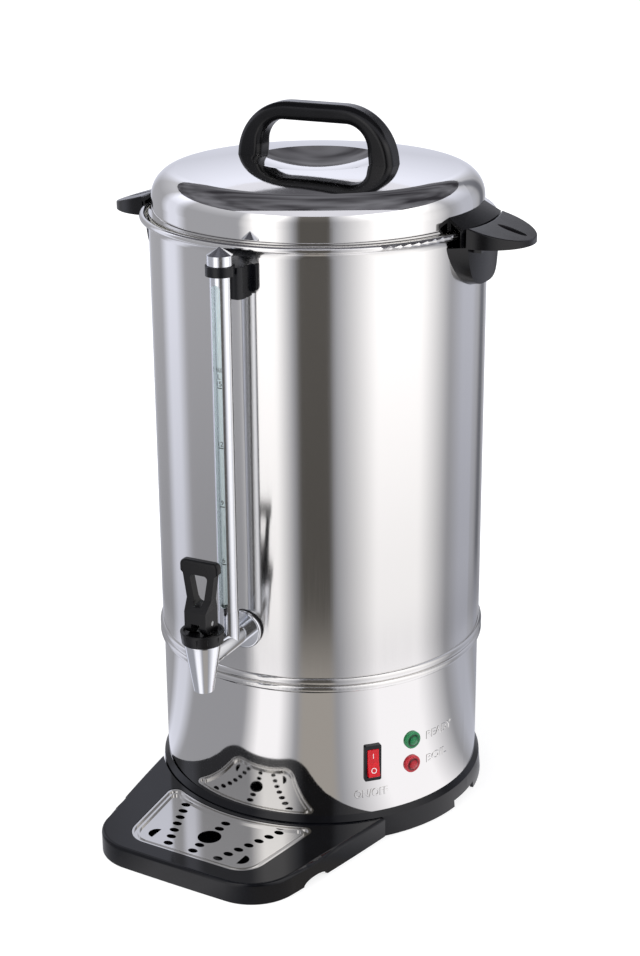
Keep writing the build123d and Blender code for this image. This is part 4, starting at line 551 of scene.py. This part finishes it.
class URN_OT_gauge(bpy.types.Operator):
    """Finishes the level gauge and prints its scale on the glass"""
    bl_idname = "urn.gauge"
    bl_label = "Level gauge"

    def execute(self, context):
        finishes, sizes = context.scene.urn_finishes, context.scene.urn_lettering
        chrome = plated_chrome("chrome_plated_gauge", tuple(finishes.chrome), 0.18)
        dress("gauge_shield", chrome)
        dress("gauge_cap", chrome)
        dress("gauge_glass", clear_glass("borosilicate_drawn_tube"))
        ink = scale_ink("ink_screen_printed_black", tuple(finishes.ink))
        low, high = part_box("gauge_glass")
        self.backing((low + high) / 2, low.z + BACKING_LOW * MM, high.z - BACKING_HIGH * MM)
        centre = ((low.x + high.x) / 2, (low.y + high.y) / 2)
        radius = (high.x - low.x) / 2 + INK_LIFT * MM
        for litres, height in LEVEL_MARKS:
            figure_z = (height + FIGURE_UP) * MM
            self.print_word(f"gauge_figure_{litres}", str(litres), centre, radius, figure_z, sizes, ink)
            tick = self.tick(f"gauge_tick_{litres}", TICK_WIDTH * MM, sizes.tick_height)
            wrap_mesh(tick, centre, radius, 0.0, height * MM)
            new_piece(tick.name, tick, ink, "urn")
        top = LEVEL_MARKS[0][1]
        self.print_word("gauge_letter_L", "L", centre, radius, (top + LETTER_UP) * MM, sizes, ink)
        self.print_word(
            "gauge_word_MAX", "MAX", centre, radius, (top + WORD_UP) * MM, sizes, ink, WORD_WIDTH * MM)
        return {"FINISHED"}

    def print_word(self, name, words, centre, radius, height, sizes, ink, width=None):
        mesh = word_mesh(name, words, PRINT_DEPTH, 0.0)
        fit_mesh(mesh, width, sizes.scale_height)
        for vertex in mesh.vertices:
            vertex.co.z *= PRINT_FLATTEN
        wrap_mesh(mesh, centre, radius, 0.0, height)
        new_piece(name, mesh, ink, "urn")

    def backing(self, middle, low, high):
        """Half-round enamelled strip between the glass and the back of the chrome tube."""
        columns = []
        for i in range(BACKING_COLUMNS + 1):
            angle = BACKING_FROM + BACKING_SWEEP * i / BACKING_COLUMNS
            inner, outer = heading(angle, BACKING_IN * MM), heading(angle, BACKING_OUT * MM)
            columns.append([
                (middle.x + x, middle.y + y, z)
                for (x, y), z in ((inner, low), (inner, high), (outer, high), (outer, low))])
        mesh = strip_mesh("gauge_backing", columns)
        smooth(mesh)
        new_piece("gauge_backing", mesh, enamel("enamel_stoved_pale_painted_glow"), "urn")

    def tick(self, name, width, height):
        """Thin bar made of strips, so that it bends round the glass."""
        bars = 12
        edges = ((-height / 2, 0), (height / 2, 0), (height / 2, INK_T * MM), (-height / 2, INK_T * MM))
        places = [width * (i / bars - 0.5) for i in range(bars + 1)]
        return strip_mesh(name, [[(x, y, z) for y, z in edges] for x in places])


# Places on the skirt: radii in mm, azimuths in degrees from the tap towards the right handle
SKIRT_R = 139.2
LAMP_R, LAMP_AZIMUTH, LAMP_FACE = 7.75, 59.8, 141.4
SWITCH_AZIMUTH = 44.3
ROCKER_MARKS = (("O", -6.3, 4.6), ("I", 6.3, 4.4))     # letter, place above the middle, and height
ROCKER_PAINT, ROCKER_SUNK = 0.03, 0.05                 # mark's face above the rocker, back below it
ROCKER_RAY = 50                                        # where the search for the rocker's face begins
WORD_DEPTH = 0.04                                      # before scaling, as a share of a letter's size
STAMPED_WORDS = (                                      # word, azimuth, height and angle that it spans
    ("ON/OFF", 43.95, 42.0, 12.3),
    ("READY", 73.15, 82.5, 13.7),
    ("BOIL", 71.75, 60.0, 10.5),
)


class URN_OT_controls(bpy.types.Operator):
    """Finishes the switch and lamps, marks the rocker and stamps the words in the skirt"""
    bl_idname = "urn.controls"
    bl_label = "Controls"

    def execute(self, context):
        finishes, sizes = context.scene.urn_finishes, context.scene.urn_lettering
        # painted light: the rocker glows faintly (0.15) in its own red, though it is no lamp
        red = tinted_polycarbonate("polycarbonate_red_rocker_painted_glow", tuple(finishes.rocker_red), 0.1, 0.15)
        dress("switch_rocker", red)
        for node, tint in (("lamp_ready", finishes.ready_green), ("lamp_boil", finishes.boil_red)):
            low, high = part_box(node)
            centre = (*heading(LAMP_AZIMUTH, LAMP_FACE * MM), (low.z + high.z) / 2)
            dress(node, lamp_lens("polycarbonate_lens_painted_light_" + node, tuple(tint), centre))
        for letter, up, tall in ROCKER_MARKS:
            self.mark_rocker(letter, up, tall)
        steel = NODES["skirt_shell"].data.materials[0]
        radius = SKIRT_R * MM
        for words, azimuth, height, span in STAMPED_WORDS:
            name = "stamped_" + words.replace("/", "_")
            mesh = word_mesh(name, words, WORD_DEPTH, sizes.edge)
            fit_mesh(mesh, math.radians(span) * radius, sizes.stamped_height)
            low = min(v.co.z for v in mesh.vertices)
            high = max(v.co.z for v in mesh.vertices)
            for vertex in mesh.vertices:
                vertex.co.z = (vertex.co.z - low) / (high - low) * sizes.relief * 2 - sizes.relief
            wrap_mesh(mesh, (0, 0), radius, azimuth, height * MM)
            smooth(mesh, 60)
            new_piece(name, mesh, steel, "urn")
        return {"FINISHED"}

    def mark_rocker(self, letter, up, tall):
        """Lays a white mark on the rocker's face, following its slope."""
        rocker = NODES["switch_rocker"]
        low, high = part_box("switch_rocker")
        middle = (low + high) / 2
        tree = BVHTree.FromObject(rocker, bpy.context.evaluated_depsgraph_get())
        mesh = word_mesh("rocker_mark_" + letter, letter, PRINT_DEPTH, 0.0)
        fit_mesh(mesh, None, tall * MM)
        inward = -Vector((*heading(SWITCH_AZIMUTH, 1.0), 0.0))
        across = Vector((-inward.y, inward.x, 0.0)) * -1
        levels = sorted({round(v.co.z, 6) for v in mesh.vertices})
        for vertex in mesh.vertices:
            x, y, z = vertex.co
            level = Vector((middle.x, middle.y, middle.z + up * MM + y))
            start = level - inward * ROCKER_RAY * MM + across * x
            place, _, _, _ = tree.ray_cast(start, inward)
            if place is None:
                raise RuntimeError("a rocker mark misses the rocker")
            lift = ROCKER_PAINT if z > levels[0] + 1e-6 else -ROCKER_SUNK
            vertex.co = place - inward * lift * MM
        new_piece(mesh.name, mesh, white_paint("ink_pad_printed_white"), "rocker")


class URN_OT_inner_works(bpy.types.Operator):
    """Finishes the heating, wiring, inlet and fasteners"""
    bl_idname = "urn.inner_works"
    bl_label = "Inner works"

    def execute(self, context):
        zinc = plain_metal("steel_zinc_plated", "#b4b6ba", 0.35)
        for node in (
                "bottom_plate", "bottom_screws", "heater_clamp", "tie_stud", "tie_nuts", "sensor_straps",
                "inlet_screws", "lamp_clips", "gauge_bracket_screw", "side_handle_screws",
                "lid_handle_screws", "lid_lug_rivets"):
            dress(node, zinc)
        sheath = plain_metal("sheath_annealed_steel", "#85827c", 0.45, 3.0)
        dress("heating_element", sheath)
        dress("keep_warm_element", sheath)
        ceramic = steatite("steatite_glazed")
        for node in ("thermostat", "thermal_cutout", "terminal_block"):
            dress(node, ceramic)
        dress("internal_leads", rubber("silicone_wire_grey", linear("#b3aea2"), 0.5))
        dress("inlet_pins", plain_metal("brass_nickel_plated", "#cfc7b0", 0.2))
        dress("rubber_feet", rubber("rubber_moulded_black", linear("#121214")))
        return {"FINISHED"}


# The studio round the vessel, which shows in its steel: a tent of grey cloth with diffusers in it.
COOL, NEUTRAL, WARM = (0.92, 0.94, 1.07), (1.0, 0.985, 1.02), (1.07, 1.0, 0.93)
CLOTH, CLOTH_TINT = 60, (0.96, 0.965, 1.04)     # brightness in percent of white
DIFFUSERS = (           # azimuth from the tap, half width and soft edge in degrees, brightness, tint
    (-75, 5, 10, 85, COOL),         # small sheet at the left
    (-4, 6, 10, 100, NEUTRAL),      # narrow strip in front
    (24, 8, 4, 30, WARM),           # dark gap where the camera stands
    (74, 14, 24, 100, NEUTRAL),     # wide sheet at the right
    (132, 6, 12, 70, COOL),         # small sheet behind the right handle
    (158, 3, 5, 40, COOL),          # dark seam of the tent
    (208, 28, 12, 75, COOL),        # sheet behind the vessel
)
TABLE_SHARE = 0.93      # the table is a little duller than the cloth, and has no dark gaps
LOW_SHARE = 0.8         # the tent's wall is duller near the table
STEEL_GAIN = 1.5        # steel gives back about two thirds of what it sees
TOP_GAIN = 1.5          # the tent's upper edge is lit more, for the crown of the lid

# Sizes of the stage, in metres
TABLE_HALF = 12.0
TENT_LIFT = 0.001
WALL_FROM, WALL_TO = 0.12, 0.38         # the tent's wall gains its full brightness
FOOT_FROM, FOOT_TO = 0.015, 0.075       # the tent's foot turns into the table
EDGE_FROM, EDGE_TO = 0.6, 0.74          # the upper edge gains its extra light
CEILING_HALF, CEILING_BACK, CEILING_Z = (1.9, 1.6), 0.8, 1.7
NEAR_TABLE, FAR_TABLE = 0.25, 0.7       # where the table's shade towards the vessel begins and ends
NEAR_WHITE = 0.76                       # strength of the table's own light beside the vessel
KEY_PLACE, KEY_SIZE = (-1.6, -2.2, 2.6), 2.2
FILL_PLACE, FILL_SIZE = (2.6, -0.6, 1.8), 2.0
LAMP_AIM = (0, 0, 0.25)


def brightness(percent, tint):
    """Linear colour of a grey of this brightness, with a tint, kept within white."""
    value = linear("#" + f"{round(percent * 2.55):02x}" * 3)[0]
    return tuple(min(1.0, value * c) for c in tint)


def shade_round(tree, share=1.0, darkest=0):
    """Colour by azimuth about the vessel's axis: the cloth, with the diffusers in it."""
    stops = []
    for middle, half, soft, bright, tint in DIFFUSERS:
        shade = brightness(max(bright, darkest) * share, tint)
        cloth = brightness(CLOTH * share, CLOTH_TINT)
        for azimuth, colour_here in (
                (middle - half - soft, cloth), (middle - half, shade),
                (middle + half, shade), (middle + half + soft, cloth)):
            stops.append(((azimuth + 90) / 360, colour_here))
    place = add_node(tree, "ShaderNodeTexCoord")
    turn = add_node(
        tree, "ShaderNodeTexGradient", {"Vector": place.outputs["Object"]}, gradient_type="RADIAL")
    return add_node(tree, "ShaderNodeValToRGB", {0: turn.outputs["Fac"]}, stops=stops).outputs[0]


class URN_OT_stage(bpy.types.Operator):
    """Builds the pale floor, the light tent, the lamps, the world and the camera"""
    bl_idname = "urn.stage"
    bl_label = "Stage"

    def execute(self, context):
        stage = context.scene.urn_stage
        context.scene.view_settings.view_transform = "Standard"
        self.floor(context)
        self.tent(context, stage)
        self.ceiling(context, stage)
        self.world(context)
        self.lamp(context, "key_lamp", KEY_PLACE, KEY_SIZE, stage.key_power)
        self.lamp(context, "fill_lamp", FILL_PLACE, FILL_SIZE, stage.fill_power)
        self.camera(context, stage)
        return {"FINISHED"}

    def link(self, context, name, mesh, material):
        thing = bpy.data.objects.new(name, mesh)
        mesh.materials.append(material)
        context.scene.collection.objects.link(thing)
        return thing

    def floor(self, context):
        """Pale table top: white to the eye apart from soft contact shadows, mid grey in the steel."""
        material, tree = bare_material("paper_white_table")
        path = add_node(tree, "ShaderNodeLightPath")
        paper = add_node(tree, "ShaderNodeBsdfDiffuse", {"Color": (*linear("#f4f4f6"), 1)})
        place = add_node(tree, "ShaderNodeTexCoord")
        away = add_node(tree, "ShaderNodeVectorMath", {0: place.outputs["Object"]}, operation="LENGTH")
        level = add_node(
            tree, "ShaderNodeMapRange",
            {"Value": away.outputs["Value"], "From Min": NEAR_TABLE, "From Max": FAR_TABLE,
             "To Min": NEAR_WHITE, "To Max": 1.0})
        lift = add_node(tree, "ShaderNodeEmission", {"Color": (1, 1, 1, 1), "Strength": level.outputs[0]})
        weak = add_node(tree, "ShaderNodeBsdfDiffuse", {"Color": (0.42, 0.42, 0.42, 1)})
        seen = add_node(tree, "ShaderNodeAddShader", {0: lift.outputs[0], 1: weak.outputs[0]})
        to_eye = add_node(
            tree, "ShaderNodeMixShader",
            {0: path.outputs["Is Camera Ray"], 1: paper.outputs[0], 2: seen.outputs[0]})
        glow = add_node(
            tree, "ShaderNodeEmission",
            {"Color": shade_round(tree, TABLE_SHARE, CLOTH), "Strength": STEEL_GAIN})
        to_steel = add_node(
            tree, "ShaderNodeMixShader",
            {0: path.outputs["Is Glossy Ray"], 1: to_eye.outputs[0], 2: glow.outputs[0]})
        add_node(tree, "ShaderNodeOutputMaterial", {"Surface": to_steel.outputs[0]})
        form = bmesh.new()
        bmesh.ops.create_grid(form, x_segments=8, y_segments=8, size=TABLE_HALF)
        self.link(context, "table", mesh_of("table", form), material)

    def tent(self, context, stage):
        """Upright ring of diffusers, which only the shine of the object sees."""
        material, tree = bare_material("diffuser_cloth_lit")
        place = add_node(tree, "ShaderNodeTexCoord")
        split = add_node(tree, "ShaderNodeSeparateXYZ", {0: place.outputs["Object"]})
        foot = add_node(
            tree, "ShaderNodeMapRange",
            {"Value": split.outputs["Z"], "From Min": FOOT_FROM, "From Max": FOOT_TO})
        cloth = add_node(
            tree, "ShaderNodeMix",
            {0: foot.outputs[0], 6: shade_round(tree, TABLE_SHARE, CLOTH), 7: shade_round(tree)},
            data_type="RGBA")
        rise = add_node(
            tree, "ShaderNodeMapRange",
            {"Value": split.outputs["Z"], "From Min": WALL_FROM, "From Max": WALL_TO, "To Min": LOW_SHARE,
             "To Max": 1.0})
        edge = add_node(
            tree, "ShaderNodeMapRange",
            {"Value": split.outputs["Z"], "From Min": EDGE_FROM, "From Max": EDGE_TO, "To Min": STEEL_GAIN,
             "To Max": STEEL_GAIN * TOP_GAIN})
        strength = add_node(
            tree, "ShaderNodeMath", {0: rise.outputs[0], 1: edge.outputs[0]}, operation="MULTIPLY")
        glow = add_node(
            tree, "ShaderNodeEmission", {"Color": cloth.outputs[2], "Strength": strength.outputs[0]})
        add_node(tree, "ShaderNodeOutputMaterial", {"Surface": glow.outputs[0]})
        form = bmesh.new()
        bmesh.ops.create_cone(
            form, cap_ends=False, segments=128, radius1=stage.tent_radius, radius2=stage.tent_radius,
            depth=stage.tent_height)
        bmesh.ops.translate(form, verts=form.verts, vec=(0, 0, stage.tent_height / 2 + TENT_LIFT))
        mesh = mesh_of("light_tent", form)
        smooth(mesh)
        self.only_in_shine(self.link(context, "light_tent", mesh, material))

    def ceiling(self, context, stage):
        """Dark studio ceiling above the tent, towards the camera."""
        material, tree = bare_material("ceiling_dark_grey")
        place = add_node(tree, "ShaderNodeTexCoord")
        cloud = add_node(
            tree, "ShaderNodeTexNoise", {"Vector": place.outputs["Object"], "Scale": 1.4, "Detail": 2.0})
        tone = add_node(
            tree, "ShaderNodeValToRGB", {0: cloud.outputs["Fac"]},
            stops=[(0.35, linear("#3c3b40")), (0.65, linear("#85858c"))])
        glow = add_node(tree, "ShaderNodeEmission", {"Color": tone.outputs[0], "Strength": 1.0})
        add_node(tree, "ShaderNodeOutputMaterial", {"Surface": glow.outputs[0]})
        form = bmesh.new()
        bmesh.ops.create_grid(form, x_segments=4, y_segments=4, size=1.0)
        turn = Matrix.Rotation(stage.camera_azimuth, 4, "Z")
        for vertex in form.verts:
            x, y, _ = vertex.co
            vertex.co = turn @ Vector((x * CEILING_HALF[0], y * CEILING_HALF[1] + CEILING_BACK, CEILING_Z))
        self.only_in_shine(self.link(context, "ceiling", mesh_of("ceiling", form), material))

    def only_in_shine(self, thing):
        thing.visible_camera = False
        thing.visible_diffuse = False
        thing.visible_shadow = False
        thing.visible_transmission = False
        thing.visible_volume_scatter = False

    def world(self, context):
        """White to the eye, in the shine and through glass; softer on dull surfaces."""
        world = bpy.data.worlds.new("studio_white")
        context.scene.world = world
        world.use_nodes = True
        tree = world.node_tree
        tree.nodes.clear()
        path = add_node(tree, "ShaderNodeLightPath")
        eye = add_node(
            tree, "ShaderNodeMath",
            {0: path.outputs["Is Camera Ray"], 1: path.outputs["Is Transmission Ray"]}, operation="MAXIMUM")
        ambient = add_node(
            tree, "ShaderNodeBackground", {"Color": (*linear("#eeeef2"), 1), "Strength": 0.55})
        shine = add_node(
            tree, "ShaderNodeBackground", {"Color": (*linear("#ececf6"), 1), "Strength": 1.15})
        white = add_node(tree, "ShaderNodeBackground", {"Color": (1, 1, 1, 1), "Strength": 1.0})
        dull = add_node(
            tree, "ShaderNodeMixShader",
            {0: path.outputs["Is Glossy Ray"], 1: ambient.outputs[0], 2: shine.outputs[0]})
        mix = add_node(
            tree, "ShaderNodeMixShader", {0: eye.outputs[0], 1: dull.outputs[0], 2: white.outputs[0]})
        add_node(tree, "ShaderNodeOutputWorld", {"Surface": mix.outputs[0]})

    def lamp(self, context, name, place, size, power):
        light = bpy.data.lights.new(name, "AREA")
        light.shape = "SQUARE"
        light.size = size
        light.energy = power * size ** 2
        thing = bpy.data.objects.new(name, light)
        thing.location = place
        aim = Vector(LAMP_AIM) - Vector(place)
        thing.rotation_euler = aim.to_track_quat("-Z", "Y").to_euler()
        thing.visible_glossy = False
        context.scene.collection.objects.link(thing)

    def camera(self, context, stage):
        data = bpy.data.cameras.new("camera")
        data.lens = stage.lens
        data.sensor_width = 36
        data.sensor_fit = "AUTO"
        thing = bpy.data.objects.new("camera", data)
        x, y = heading(math.degrees(stage.camera_azimuth), stage.camera_distance)
        thing.location = (x, y, stage.camera_height)
        turn = Matrix.Rotation(stage.camera_azimuth, 4, "Z")
        pitch = Matrix.Rotation(math.radians(90) - stage.camera_pitch, 4, "X")
        roll = Matrix.Rotation(stage.camera_roll, 4, "Z")
        thing.rotation_euler = (turn @ pitch @ roll).to_euler()
        context.scene.collection.objects.link(thing)
        context.scene.camera = thing


# ---------------------------------------------------------------------------
# Panel and registration
# ---------------------------------------------------------------------------
STEPS = (
    URN_OT_stage, URN_OT_steelwork, URN_OT_mouldings, URN_OT_tap, URN_OT_gauge, URN_OT_controls,
    URN_OT_inner_works)
GROUPS = {"urn_finishes": UrnFinishes, "urn_lettering": UrnLettering, "urn_stage": UrnStage}


class URN_PT_panel(bpy.types.Panel):
    """Lists the urn's sizes, colours and steps"""
    bl_idname = "URN_PT_panel"
    bl_label = "Coffee urn"
    bl_space_type = "VIEW_3D"
    bl_region_type = "UI"
    bl_category = "Urn"

    def draw(self, context):
        for name in GROUPS:
            box = self.layout.box()
            group = getattr(context.scene, name)
            for field in group.bl_rna.properties.keys():
                if field not in ("rna_type", "name"):
                    box.prop(group, field)
        for step in STEPS:
            self.layout.operator(step.bl_idname)


CLASSES = (*GROUPS.values(), *STEPS, URN_PT_panel)


def register():
    for cls in CLASSES:
        bpy.utils.register_class(cls)
    for name, group in GROUPS.items():
        setattr(bpy.types.Scene, name, PointerProperty(type=group))


def unregister():
    for name in GROUPS:
        delattr(bpy.types.Scene, name)
    for cls in reversed(CLASSES):
        bpy.utils.unregister_class(cls)


def main():
    register()
    bpy.ops.urn.stage()
    bpy.ops.urn.steelwork()
    bpy.ops.urn.mouldings()
    bpy.ops.urn.tap()
    bpy.ops.urn.gauge()
    bpy.ops.urn.controls()
    bpy.ops.urn.inner_works()


if __name__ == "__main__":
    main()
